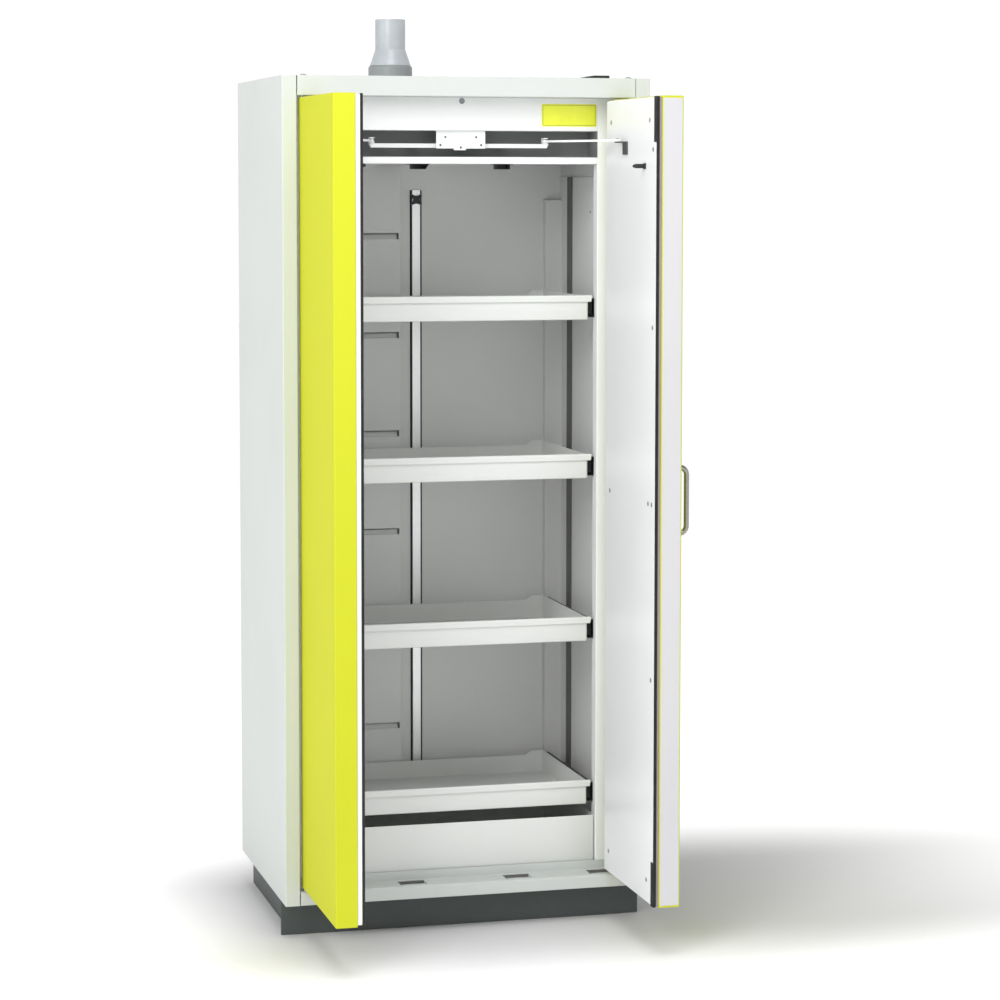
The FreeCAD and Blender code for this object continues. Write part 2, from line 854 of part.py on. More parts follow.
pan_left = leaf_free_edge + pan_free_inset
pan_right = leaf_hinge_edge - pan_hinge_inset
pan_bottom = door_bottom + pan_end_inset
pan_top = door_top - pan_end_inset


def leaf_pan():
    """The inner pan, set in from the edges of the skin and open towards the board."""
    y0 = front + skin_depth
    outer = block(pan_left, pan_right, y0, pan_face, pan_bottom, pan_top)
    return outer.cut(block(pan_left + sheet, pan_right - sheet, y0 - reach, pan_face - sheet,
                           pan_bottom + sheet, pan_top - sheet))


def leaf_bulb():
    """The rubber bulb on the inner face along the free edge of one leaf."""
    left = pan_left - seal_overhang
    return block(left, left + seal_width, pan_face, door_face, pan_bottom - seal_overhang,
                 pan_top + seal_overhang)


def leaf_edge_seal():
    """The rubber strip on the edge of the other leaf, with a pad at each end that wraps onto the face."""
    left = pan_left - seal_overhang
    low = pan_bottom - seal_overhang
    high = pan_top + seal_overhang
    seal = block(left, pan_left, pan_face - edge_seal_width, pan_face, low, high)
    for z0 in (low, high - pad_length):
        pad = block(left, left + pad_width, pan_face, pan_face + pad_thickness, z0, z0 + pad_length)
        seal = joined(seal, pad)
    return seal


def leaf_edge_gasket():
    """The soft strip on the free edge of the leaf, behind the rubber strip."""
    back = pan_face - edge_seal_width - gasket_gap
    return block(pan_left - gasket_depth, pan_left, back - gasket_width, back, pan_bottom, pan_top)


def leaf_screws():
    """Flat screw heads on the inner face, in rows and along the free edge."""
    middle = (door_top + door_bottom) / 2
    rows = (door_bottom + screw_end_distance, middle, door_top - screw_end_distance)
    spots = [(x, z) for x in (pivot_x - screw_hinge_distance, pan_left + screw_inner_inset) for z in rows]
    first = middle - screw_outer_pitch
    spots += [(pan_left + screw_outer_inset, first + screw_outer_pitch * k) for k in range(screw_outer_count)]
    return [bar_along_y(x, pan_face, pan_face + door_screw_height, z, door_screw_radius) for x, z in spots]


arm_pin_x = pivot_x - arm_pin_distance
arm_pin_y = pan_face + arm_pin_reach
lug_top = arm_bottom - arm_play


def leaf_lug():
    """The lug that carries the arm pin: a plate on the inner pan and an ear that narrows towards the pin."""
    near = arm_pin_x - lug_plate_shift + lug_plate_width / 2
    far = near - lug_plate_width
    low = lug_top - lug_thickness
    plate_face = pan_face + lug_plate_thickness
    slant = arm_eye_radius * sqrt(0.5)
    ear = [(far, pan_face), (arm_pin_x + arm_eye_radius, pan_face), (arm_pin_x + arm_eye_radius, arm_pin_y),
           (arm_pin_x - slant, arm_pin_y + slant), (far, plate_face)]
    return joined(
        block(far, near, pan_face, plate_face, lug_top - lug_plate_height, lug_top),
        prism([Vector(x, y, low) for x, y in ear], Vector(0, 0, lug_thickness)),
        post(arm_pin_x, arm_pin_y, low, lug_top, arm_eye_radius),
        post(arm_pin_x, arm_pin_y, low, arm_top + arm_pin_top, arm_pin_radius),
    )


def leaf_tongue():
    """The tongue that enters the catch, pointed in plan and tapered from above and below."""
    x = catch_distance - tongue_shift
    left = x - tongue_width / 2
    right = x + tongue_width / 2
    middle = ceiling - catch_height / 2
    z0 = middle - tongue_thickness / 2
    z1 = middle + tongue_thickness / 2
    tip = pan_face + tongue_reach
    shoulder = tip - tongue_point
    neck = tip - tongue_taper
    nose = tongue_nose / 2
    plan = [(left, pan_face), (right, pan_face), (right, shoulder), (x, tip), (left, shoulder)]
    side = [(pan_face, z0), (neck, z0), (tip, middle - nose), (tip, middle + nose), (neck, z1),
            (pan_face, z1)]
    bar = prism([Vector(a, b, z0) for a, b in plan], Vector(0, 0, tongue_thickness))
    bar = bar.common(prism([Vector(left, b, c) for b, c in side], Vector(tongue_width, 0, 0)))
    plate = block(left - tongue_plate_margin, right + tongue_plate_margin, pan_face, pan_face + tongue_plate,
                  z0 - tongue_plate_drop, z1 + tongue_plate_drop)
    return joined(bar, plate)


def grip():
    """A round bar bent to a D, on the outer face near the free edge."""
    x = leaf_free_edge + grip_edge_distance
    y = front - grip_reach
    z0 = door_bottom + grip_height - grip_length / 2 + grip_radius
    z1 = z0 + grip_length - 2 * grip_radius
    bend = grip_corner * (1 - sqrt(0.5))
    upper = [Vector(x, y + grip_corner, z1), Vector(x, y + bend, z1 - bend), Vector(x, y, z1 - grip_corner)]
    lower = [Vector(x, y, z0 + grip_corner), Vector(x, y + bend, z0 + bend), Vector(x, y + grip_corner, z0)]
    path = Part.Wire([
        Part.LineSegment(Vector(x, front, z1), upper[0]).toShape(),
        Part.Arc(*upper).toShape(),
        Part.LineSegment(upper[2], lower[0]).toShape(),
        Part.Arc(*lower).toShape(),
        Part.LineSegment(lower[2], Vector(x, front, z0)).toShape(),
    ])
    circle = Part.Wire(Part.makeCircle(grip_radius, Vector(x, front, z1), Vector(0, 1, 0)))
    return path.makePipeShell([circle], True, False)


def open_arm_ends():
    """The pin at the door and the pin at the slider, on the open right side."""
    at_door = Vector(pivot_x - (arm_pin_y - pivot_y), pivot_y + (arm_pin_x - pivot_x), arm_bottom)
    at_slider = Vector(arm_open_reach, guide_y, arm_bottom)
    return at_door, at_slider


def closing_arm():
    """The right arm: a flat bar with an eye at each end."""
    start, end = open_arm_ends()
    along = end.sub(start)
    across = Vector(-along.y, along.x, 0).normalize().multiply(arm_width / 2)
    corners = [start.add(across), end.add(across), end.sub(across), start.sub(across)]
    arm = prism(corners, Vector(0, 0, arm_thickness))
    for centre, radius in ((start, arm_eye_radius), (end, slider_length / 2)):
        arm = joined(arm, Part.makeCylinder(radius, arm_thickness, centre))
    for centre in (start, end):
        below = centre.sub(Vector(0, 0, reach))
        arm = arm.cut(Part.makeCylinder(arm_pin_radius + arm_pin_clearance, arm_thickness + 2 * reach, below))
    return arm


def guide_slider():
    """The right slider: a fork round the arm's eye, open to the front, on the guide rail."""
    x0 = arm_open_reach - slider_length / 2
    x1 = arm_open_reach + slider_length / 2
    y0 = guide_y - slider_depth / 2
    y1 = guide_y + slider_depth / 2
    low = guide_top + slider_gap
    top_low = arm_top + slider_room
    top = top_low + slider_top
    return joined(
        block(x0, x1, y0, y1 + slider_web, low, low + slider_base),
        block(x0, x1, y0, y1 + slider_web, top_low, top),
        block(x0, x1, y1, y1 + slider_web, low, top),
        post(arm_open_reach, guide_y, low, top, arm_pin_radius),
    )


# Doors with their fittings, arms and sliders
def make_doors():
    strip = block(leaf_free_edge - edge_strip_thickness, leaf_free_edge, front + edge_strip_border,
                  front + skin_depth - edge_strip_border, door_bottom + edge_strip_end,
                  door_top - edge_strip_end)
    leaf = {
        "skin": [leaf_skin()],
        "core": [leaf_core()],
        "inner_pan": [leaf_pan()],
        "screws": leaf_screws(),
        "arm_lug": [leaf_lug()],
        "tongue": [leaf_tongue()],
    }
    right = dict(leaf, seal=[leaf_edge_seal(), leaf_edge_gasket()], grip=[grip()], edge_strip=[strip])
    left = dict(leaf, seal=[leaf_bulb()])
    for name, shapes in right.items():
        save(f"right_door_{name}", *[opened(shape) for shape in shapes])
    for name, shapes in left.items():
        save(f"left_door_{name}", *[mirrored(opened(shape)) for shape in shapes])

    for name, shape in (("closing_arm", closing_arm()), ("guide_slider", guide_slider())):
        save(f"right_{name}", shape)
        save(f"left_{name}", mirrored(shape))

    x0 = opening_half - hinge_plate_width
    y0 = front + sheet
    y1 = front + hinge_plate_depth
    plate_low = fascia_bottom + sheet
    high = joined(
        post(pivot_x, pivot_y, door_top - pin_length, plate_low + hinge_plate, pin_radius),
        block(x0, opening_half, y0, y1, plate_low, plate_low + hinge_plate),
    )
    low = joined(
        post(pivot_x, pivot_y, ledge_level, door_bottom + pin_length, pin_radius),
        block(x0, opening_half, y0, y1, ledge_level, ledge_level + hinge_plate),
    )
    save("hinge_pins", *pair(high), *pair(low))


make_plinth()
make_casing()
make_insulation()
make_liner()
make_front_frame()
make_recess()
make_inner_fittings()
make_runners()
make_trays()
make_exhaust()
make_doors()
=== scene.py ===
import json
import math
import bmesh
import bpy
import numpy as np
from mathutils import Matrix, Vector

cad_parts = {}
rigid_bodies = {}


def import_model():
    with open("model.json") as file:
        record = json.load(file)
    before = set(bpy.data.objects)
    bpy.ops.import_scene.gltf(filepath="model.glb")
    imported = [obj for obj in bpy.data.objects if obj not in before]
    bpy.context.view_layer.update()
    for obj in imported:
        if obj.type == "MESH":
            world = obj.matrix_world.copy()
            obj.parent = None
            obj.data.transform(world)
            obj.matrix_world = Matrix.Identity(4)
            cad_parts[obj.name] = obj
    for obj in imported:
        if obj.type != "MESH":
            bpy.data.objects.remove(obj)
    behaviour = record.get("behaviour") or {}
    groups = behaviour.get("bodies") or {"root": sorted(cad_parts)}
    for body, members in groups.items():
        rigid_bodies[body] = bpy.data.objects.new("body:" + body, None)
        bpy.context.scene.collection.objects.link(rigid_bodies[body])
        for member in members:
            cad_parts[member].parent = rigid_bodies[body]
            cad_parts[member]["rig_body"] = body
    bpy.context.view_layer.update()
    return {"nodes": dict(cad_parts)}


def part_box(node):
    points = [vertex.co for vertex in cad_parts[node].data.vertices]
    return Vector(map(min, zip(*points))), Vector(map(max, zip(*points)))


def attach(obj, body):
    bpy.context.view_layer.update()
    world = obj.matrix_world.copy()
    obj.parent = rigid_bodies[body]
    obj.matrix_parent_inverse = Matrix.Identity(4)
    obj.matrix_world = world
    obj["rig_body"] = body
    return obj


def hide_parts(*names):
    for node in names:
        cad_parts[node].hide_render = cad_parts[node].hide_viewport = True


# Looks of a two-wing storage cabinet with pull-out trays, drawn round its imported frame
# Sizes in the dictionaries are millimetres; every mesh is turned into metres when it is made

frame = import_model()
print("frame loaded:", len(frame["nodes"]), "nodes")


# Colours: screen values turned into the light values that shaders use
def tone(red, green, blue):
    value = np.array([red, green, blue]) / 255.0
    return tuple(np.where(value <= 0.04045, value / 12.92, ((value + 0.055) / 1.055) ** 2.4).tolist())


# A socket of one finish: + - * / on it add Math nodes
class Wire:
    def __init__(self, finish, socket):
        self.finish, self.socket = finish, socket

    def __add__(self, other):
        return self.finish.maths("ADD", self, other)

    def __sub__(self, other):
        return self.finish.maths("SUBTRACT", self, other)

    def __rsub__(self, other):
        return self.finish.maths("SUBTRACT", other, self)

    def __mul__(self, other):
        return self.finish.maths("MULTIPLY", self, other)

    __radd__, __rmul__ = __add__, __mul__


# One material: a Principled shader and the nodes that feed it, placed by Object coordinates
class Finish:
    def __init__(self, name, colour, roughness, metallic=0.0, coat=0.0, specular=0.5):
        self.material = bpy.data.materials.new(name)
        self.material.use_nodes = True
        self.material.diffuse_color = (*colour, 1.0)
        self.tree = self.material.node_tree
        self.tree.nodes.clear()
        self.shader = self.tree.nodes.new("ShaderNodeBsdfPrincipled")
        output = self.tree.nodes.new("ShaderNodeOutputMaterial")
        self.tree.links.new(self.shader.outputs[0], output.inputs[0])
        self.feed("Base Color", (*colour, 1.0))
        self.feed("Roughness", roughness)
        self.feed("Metallic", metallic)
        self.feed("Coat Weight", coat)
        self.feed("Specular IOR Level", specular)
        self.place = self.node("ShaderNodeTexCoord", output="Object")

    def join(self, socket, value):
        if isinstance(value, Wire):
            self.tree.links.new(value.socket, socket)
        else:
            socket.default_value = value

    def feed(self, name, value):
        self.join(self.shader.inputs[name], value)

    # Adds a node: its settings first, then values or wires on its sockets
    def node(self, kind, settings=None, inputs=None, output=0):
        made = self.tree.nodes.new(kind)
        for key, value in (settings or {}).items():
            setattr(made, key, value)
        for key, value in (inputs or {}).items():
            self.join(made.inputs[key], value)
        return Wire(self, made.outputs[output])

    def maths(self, operation, first, second=0.0):
        return self.node("ShaderNodeMath", {"operation": operation}, {0: first, 1: second})

    # Noise with features of about `size` millimetres, drawn out along an axis by `stretch`
    def noise(self, size, detail=2.0, stretch=None, rough=0.5):
        place = self.place
        if stretch:
            place = self.node("ShaderNodeMapping", {}, {"Vector": place, "Scale": stretch})
        return self.node("ShaderNodeTexNoise", {}, {"Vector": place, "Scale": 1000.0 / size, "Detail": detail,
                                                    "Roughness": rough})

    # 0 below `low`, 1 above `high`, smooth between them
    def mask(self, wire, low, high):
        return self.node("ShaderNodeMapRange", {"interpolation_type": "SMOOTHSTEP"},
                         {"Value": wire, "From Min": low, "From Max": high, "To Min": 0.0, "To Max": 1.0})

    def along(self, axis):
        return self.node("ShaderNodeSeparateXYZ", {}, {"Vector": self.place}, axis)

    def mix(self, first, second, share):
        return self.node("ShaderNodeMix", {"data_type": "RGBA"}, {0: share, 6: first, 7: second}, 2)

    def bump(self, height, depth):
        inputs = {"Height": height, "Distance": depth / 1000.0, "Strength": 1.0}
        self.feed("Normal", self.node("ShaderNodeBump", {}, inputs))


finishes = {}


# Keeps a finish under the name that the pieces use
def keep(name, finish):
    finishes[name] = finish.material
    return finish


# A colour made darker or lighter, as a shader takes it
def shade(colour, factor, lift=0.0):
    return (*(min(1.0, factor * value + lift) for value in colour), 1.0)


# Powder coat: fine peel of 1 to 2 mm, a slow drift of tone, and a little dust low down
def powderCoat(name, colour, roughness=0.5, peel=0.035, dust=0.05, specular=0.28):
    paint = keep(name, Finish(name, colour, roughness, specular=specular))
    drift = paint.noise(420.0, 3.0)
    fine = paint.noise(1.6, 2.0)
    low = 1.0 - paint.mask(paint.along("Z"), 0.05, 0.55)
    drifted = paint.mix((*colour, 1.0), shade(colour, 0.93), paint.mask(drift, 0.35, 0.75) * 0.5)
    specks = paint.mask(paint.noise(24.0, 4.0), 0.45, 0.8)
    paint.feed("Base Color", paint.mix(drifted, shade(colour, 0.82, 0.05), low * specks * dust * 4.0))
    paint.feed("Roughness", roughness + 0.05 * (paint.noise(90.0, 3.0) - 0.5) + 0.06 * (fine - 0.5))
    paint.bump(fine + 0.4 * paint.noise(5.0, 1.0), peel)
    return paint


# Moulded plastic: a fine grain, and shinier where hands rub it
def mouldedPlastic(name, colour, roughness=0.5, grain=0.03, size=0.7, coat=0.0):
    plastic = keep(name, Finish(name, colour, roughness, coat=coat))
    grains = plastic.noise(size, 3.0)
    patches = plastic.mask(plastic.noise(28.0, 3.0), 0.3, 0.75)
    plastic.feed("Base Color", plastic.mix((*colour, 1.0), shade(colour, 1.12, 0.004), patches * 0.6))
    plastic.feed("Roughness", roughness - 0.08 * patches + 0.08 * (grains - 0.5))
    plastic.bump(grains, grain)
    return plastic


# Bare or plated metal: fine lines drawn out along one axis and cloudy patches of plating
def platedMetal(name, colour, roughness, lines=(1.0, 1.0, 0.03), size=0.5, depth=0.006, cloud=0.12, patch=0.8):
    metal = keep(name, Finish(name, colour, roughness, metallic=1.0))
    strokes = metal.noise(size, 3.0, stretch=lines)
    cloudy = metal.mask(metal.noise(9.0, 4.0), 0.35, 0.7)
    metal.feed("Base Color", metal.mix((*colour, 1.0), shade(colour, patch), cloudy * 0.5))
    metal.feed("Roughness", roughness + cloud * (cloudy - 0.5) + 0.1 * (strokes - 0.5))
    metal.bump(strokes, depth)
    return metal


# Board: a felted face with short fibres and a slow mottle
def fibreBoard(name, colour, roughness=0.7, fibre=0.15, size=1.4):
    board = keep(name, Finish(name, colour, roughness))
    fibres = board.noise(size, 5.0, stretch=(1.0, 1.0, 0.35), rough=0.65)
    mottle = board.mask(board.noise(60.0, 4.0), 0.3, 0.75)
    board.feed("Base Color", board.mix((*colour, 1.0), shade(colour, 0.88), mottle * 0.6 + 0.3 * fibres))
    board.feed("Roughness", roughness + 0.12 * (fibres - 0.5))
    board.bump(fibres, fibre)
    return board


# Rubber: dull, with a bloom of pale dust in patches
def sealRubber(name, colour):
    rubber = keep(name, Finish(name, colour, 0.62, specular=0.35))
    bloom = rubber.mask(rubber.noise(34.0, 5.0), 0.45, 0.8)
    rubber.feed("Base Color", rubber.mix((*colour, 1.0), (0.055, 0.055, 0.055, 1.0), bloom * 0.5))
    rubber.feed("Roughness", 0.58 + 0.14 * bloom)
    rubber.bump(rubber.noise(0.5, 2.0), 0.02)
    return rubber


def makeFinishes():
    powderCoat("casingWhite", tone(200, 204, 201))
    powderCoat("frameWhite", tone(240, 242, 241), roughness=0.42, dust=0.03)
    powderCoat("doorYellow", tone(197, 201, 46), roughness=0.66, peel=0.03, dust=0.02, specular=0.1)
    powderCoat("doorWhite", tone(243, 244, 245), roughness=0.34, dust=0.02)
    # Free-edge strip: the door's own white paint made darker, as painted shade
    powderCoat("stripWhitePaintedShade", tone(200, 199, 201), roughness=0.34, dust=0.02)
    powderCoat("trayWhite", tone(220, 222, 219), roughness=0.42, dust=0.0)
    powderCoat("plinthGrey", tone(78, 83, 82), peel=0.05, dust=0.03)
    powderCoat("recessGrey", tone(130, 133, 132), roughness=0.55, dust=0.0)
    powderCoat("linerGrey", tone(230, 231, 230), peel=0.02, dust=0.02)
    powderCoat("ductGrey", tone(228, 229, 228), roughness=0.48, dust=0.02)
    powderCoat("railBlack", tone(22, 23, 23), roughness=0.35, peel=0.02, dust=0.0)
    powderCoat("uprightGrey", tone(104, 104, 102), peel=0.02, dust=0.0)
    mouldedPlastic("lugGrey", tone(66, 69, 69))
    fibreBoard("mineralBoard", tone(196, 190, 172), roughness=0.85, fibre=0.4, size=3.0)
    mouldedPlastic("blackPlastic", tone(24, 25, 26), roughness=0.48)
    mouldedPlastic("noticeYellow", tone(232, 238, 52), roughness=0.3, grain=0.004, coat=0.3)
    mouldedPlastic("noticeEdge", tone(128, 132, 44), roughness=0.35, grain=0.004)
    # Grey-mauve plastic for the right door's free edge: painted shade
    mouldedPlastic("edgeShadeMauve", tone(138, 130, 128), roughness=0.7, grain=0.06)
    mouldedPlastic("capGrey", tone(140, 146, 148), roughness=0.45)
    mouldedPlastic("pipeGrey", tone(164, 169, 173), roughness=0.36, grain=0.01, size=2.0)
    mouldedPlastic("collarGrey", tone(128, 133, 133), roughness=0.42, grain=0.02)
    sealRubber("sealBlack", tone(28, 29, 29))
    platedMetal("zinc", tone(176, 179, 182), 0.38)
    platedMetal("screwSteel", tone(104, 106, 108), 0.42)
    platedMetal("railAluminium", tone(240, 241, 242), 0.42, lines=(1.0, 1.0, 0.01), depth=0.001, cloud=0.02, patch=0.97)
    platedMetal("gripSteel", tone(158, 157, 150), 0.3, lines=(1.0, 1.0, 0.02), depth=0.004)
    print("finishes made:", len(finishes))


# Fillets a line of points: each bend becomes an arc, with a point `hold` away on both sides
def filleted(points, radius, steps=4, closed=False, hold=0.8):
    points = np.array(points, float)
    count = len(points)
    radii = np.broadcast_to(np.array(radius, float), (count,))
    made = []
    for index in range(count):
        here = points[index]
        if not closed and index in (0, count - 1) or radii[index] <= 0:
            made.append(here[None, :])
            continue
        back = points[index - 1] - here
        ahead = points[(index + 1) % count] - here
        backLength, aheadLength = np.linalg.norm(back), np.linalg.norm(ahead)
        back, ahead = back / backLength, ahead / aheadLength
        half = math.acos(max(-1.0, min(1.0, float(back @ ahead)))) / 2
        trim = radii[index] / math.tan(half)
        middle = back + ahead
        centre = here + middle / np.linalg.norm(middle) * radii[index] / math.sin(half)
        start, end = here + back * trim - centre, here + ahead * trim - centre
        sweep = math.pi - 2 * half
        share = np.linspace(0.0, 1.0, steps + 1)[:, None] * sweep
        arc = centre + (np.sin(sweep - share) * start + np.sin(share) * end) / math.sin(sweep)
        before = here + back * min(trim + hold, 0.5 * (trim + backLength))
        after = here + ahead * min(trim + hold, 0.5 * (trim + aheadLength))
        made += [before[None, :], arc, after[None, :]]
    return np.concatenate(made)


# Rounded rectangle: four quarter circles joined by straight sides, anticlockwise, and the way out of each point
def roundedOutline(halfU, halfV, corner, steps=5):
    turn = np.linspace(0.0, math.pi / 2, steps)
    angle = (turn[None, :] + np.arange(4)[:, None] * math.pi / 2).ravel()
    outward = np.stack([np.cos(angle), np.sin(angle)], 1)
    signs = np.repeat([[1, 1], [-1, 1], [-1, -1], [1, -1]], steps, 0)
    return signs * (np.array([halfU, halfV]) - corner) + corner * outward, outward


# Turns (across, up, along) into X, Y, Z so that `along` lies on the named axis
def onAxis(points, axis):
    order = {"x": [2, 0, 1], "y": [1, 2, 0], "z": [0, 1, 2]}[axis]
    return points[..., order]


# A shell is its points in millimetres and its faces; faces are turned so that its volume is positive
def shell(points, faces):
    points = np.asarray(points, float).reshape(-1, 3)
    centre = points.mean(0)
    volume = 0.0
    for face in faces:
        corners = points[list(face)] - centre
        volume += float((np.cross(corners[1:-1], corners[2:]) @ corners[0]).sum())
    return (points, faces if volume > 0 else [face[::-1] for face in faces])


# Quads between neighbouring points of a grid, closed round its columns; its rows are looped or capped, if asked
def gridFaces(rows, columns, loop=False, capped=False):
    index = np.arange(rows * columns).reshape(rows, columns)
    below, above = (index, np.roll(index, -1, 0)) if loop else (index[:-1], index[1:])
    quads = np.stack([below, np.roll(below, -1, 1), np.roll(above, -1, 1), above], -1).reshape(-1, 4)
    return quads.tolist() + ([index[0, ::-1].tolist(), index[-1].tolist()] if capped else [])


# Rounded rectangles of (halfU, halfV, corner, level) stacked along an axis round a centre, with both ends capped
def stacked(rows, centre, axis="z", loop=False, steps=5):
    layers = []
    for row in rows:
        halfU, halfV, corner, level = row[:4]
        outline = roundedOutline(halfU, halfV, corner, steps)[0]
        if len(row) > 4:
            outline = outline + np.array(row[4:6])
        layers.append(np.column_stack([outline, np.full(len(outline), level)]))
    grid = np.stack(layers)
    return shell(onAxis(grid, axis).reshape(-1, 3) + np.array(centre, float),
                 gridFaces(len(rows), grid.shape[1], loop, not loop))


# A slab with every edge rounded: the outline shrinks along a quarter circle at both faces
def roundedSlab(low, high, axis="z", edge=1.0, corner=None, steps=3):
    low, high = np.array(low, float), np.array(high, float)
    order = {"x": [1, 2, 0], "y": [2, 0, 1], "z": [0, 1, 2]}[axis]
    half = ((high - low) / 2)[order]
    edge = min(edge, 0.98 * half.min())
    corner = max(edge + 0.3, corner or 0.0)
    corner = min(corner, half[0], half[1])
    angle = np.linspace(0.0, math.pi / 2, steps + 1)
    inset, rise = edge * (1 - np.cos(angle)), edge * np.sin(angle)
    hold = min(0.6, 0.2 * (half[:2].min() - edge))
    rows = [(inset[k], half[2] - edge + rise[k]) for k in range(steps + 1)]
    rows.append((edge + hold, half[2]))
    straight = min(0.6, 0.3 * (half[2] - edge))
    if straight > 0:
        rows.insert(0, (0.0, half[2] - edge - straight))
    profile = [(i, -level) for i, level in rows[::-1]] + rows
    return stacked([(half[0] - i, half[1] - i, max(corner - i, 0.05), level) for i, level in profile],
                   (low + high) / 2, axis)


# A closed outline of (across, up) points carried along an axis from low to high
def extruded(outline, axis, low, high, strip=False):
    outline = np.array(outline, float)
    count = len(outline)
    layers = np.stack([np.column_stack([outline, np.full(count, level)]) for level in (low, high)])
    faces = gridFaces(2, count, capped=not strip)
    if strip:  # both ends of a folded sheet: quads between its outer and its inner line
        half = count // 2
        k = np.arange(half - 1)
        end = np.stack([k, k + 1, count - 2 - k, count - 1 - k], -1)
        faces += end[:, ::-1].tolist() + (end + count).tolist()
    return shell(onAxis(layers, axis).reshape(-1, 3), faces)


# Folded sheet: a filleted line, doubled at the sheet's thickness to its left
def foldedSheet(line, thickness, radius, axis, low, high, steps=4):
    outer = filleted(line, radius, steps)
    step = np.diff(outer, axis=0)
    step = step / np.linalg.norm(step, axis=1)[:, None]
    left = np.stack([-step[:, 1], step[:, 0]], 1)
    before, after = np.vstack([left[:1], left]), np.vstack([left, left[-1:]])
    middle = before + after
    middle = middle / np.maximum(np.einsum("ij,ij->i", middle, before), 0.2)[:, None]
    inner = outer + thickness * middle
    return extruded(np.vstack([outer, inner[::-1]]), axis, low, high, strip=True)


# A profile of (radius, level) points turned round an axis; points on the axis are closed with fans
def turned(profile, centre, axis="z", count=48, loop=False):
    profile = np.array(profile, float)
    angle = np.linspace(0.0, 2 * math.pi, count, endpoint=False)
    ring = np.stack([np.cos(angle), np.sin(angle)], 1)
    grid = np.stack([np.column_stack([ring * max(radius, 0.0), np.full(count, level)]) for radius, level in profile])
    points = onAxis(grid, axis).reshape(-1, 3) + np.array(centre, float)
    index = np.arange(len(profile) * count).reshape(len(profile), count)
    index[profile[:, 0] <= 0] = index[profile[:, 0] <= 0][:, :1]
    quads = index.ravel()[np.array(gridFaces(len(profile), count, loop))]
    faces = [list(dict.fromkeys(quad)) for quad in quads.tolist()]
    return shell(points, [face for face in faces if len(face) > 2])


# A round bar along a path that lies in one plane; `flat` is the direction square to that plane
def roundBar(path, flat, radius, count=20):
    path = np.array(path, float)
    step = np.gradient(path, axis=0)
    step = step / np.linalg.norm(step, axis=1)[:, None]
    flat = np.array(flat, float)
    side = np.cross(flat, step)
    angle = np.linspace(0.0, 2 * math.pi, count, endpoint=False)
    grid = (path[:, None, :] + radius * (np.cos(angle)[None, :, None] * side[:, None, :]
                                         + np.sin(angle)[None, :, None] * flat[None, None, :]))
    return shell(grid.reshape(-1, 3), gridFaces(len(path), count, capped=True))


# The same shell on the other side of the middle plane
def mirrored(part):
    points, faces = part
    return (points * np.array([-1.0, 1.0, 1.0]), [face[::-1] for face in faces])


# Lowest and highest corners of a node, in millimetres
def corners(node):
    low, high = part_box(node)
    return np.array(low) * 1000.0, np.array(high) * 1000.0


# Leaves flat faces flat and edges over 35 degrees crisp
def shadeSmooth(mesh, angle=35.0):
    mesh.polygons.foreach_set("use_smooth", np.ones(len(mesh.polygons), bool))
    mesh.set_sharp_from_angle(angle=math.radians(angle))
    mesh.update()


def addBevel(piece, width, steps=2, angle=32.0):
    bevel = piece.modifiers.new("softEdges", "BEVEL")
    bevel.width = width / 1000.0
    bevel.segments = steps
    bevel.limit_method = "ANGLE"
    bevel.angle_limit = math.radians(angle)
    bevel.harden_normals = True
    bevel.use_clamp_overlap = True


def linked(name, data):
    made = bpy.data.objects.new(name, data)
    bpy.context.scene.collection.objects.link(made)
    return made


# Puts a mesh on its body, with its finish and, if asked, a bevel
def settle(mesh, body, finish, replaces=(), bevel=0.0, bevelSteps=2):
    mesh.materials.append(finishes[finish])
    shadeSmooth(mesh)
    piece = linked(mesh.name, mesh)
    if bevel:
        addBevel(piece, bevel, bevelSteps)
    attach(piece, body)
    if replaces:
        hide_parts(*replaces)


# Makes one piece of several shells, in metres
def makePiece(name, body, finish, parts, replaces=(), bevel=0.0):
    offsets = np.cumsum([0] + [len(points) for points, _ in parts])
    points = np.vstack([points for points, _ in parts]) / 1000.0
    faces = [[corner + int(offset) for corner in face]
             for (_, partFaces), offset in zip(parts, offsets) for face in partFaces]
    mesh = bpy.data.meshes.new(name)
    mesh.from_pydata(points.tolist(), [], faces)
    mesh.validate()
    settle(mesh, body, finish, replaces, bevel)


# Makes the piece that stands for a node, on the node's body
def remake(node, finish, parts, bevel=0.0, also=()):
    makePiece(node + "_finish", frame["nodes"][node]["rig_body"], finish, parts, [node, *also], bevel)


# A node's own shape with its edges softened: its copy is merged, its flat faces joined, and a bevel added
def softened(node, finish, width=0.5, steps=2):
    source = frame["nodes"][node]
    work = bmesh.new()
    work.from_mesh(source.data)
    bmesh.ops.remove_doubles(work, verts=work.verts, dist=1e-6)
    bmesh.ops.dissolve_limit(work, angle_limit=math.radians(0.6), verts=work.verts, edges=work.edges)
    mesh = bpy.data.meshes.new(node + "_finish")
    work.to_mesh(mesh)
    work.free()
    for layer in list(mesh.uv_layers):
        mesh.uv_layers.remove(layer)
    mesh.materials.clear()
    settle(mesh, source["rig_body"], finish, [node], width, steps)


# Gives a node that keeps its own shape its finish
def dress(node, finish):
    for slot in frame["nodes"][node].material_slots:
        slot.material = finishes[finish]


# Casing: folded side panels, fascia, sill and the flat sheets behind
casing = {"sheet": 1.2, "bend": 2.4, "seam": 1.4, "softEdge": 0.4, "rearFlange": 25.0}


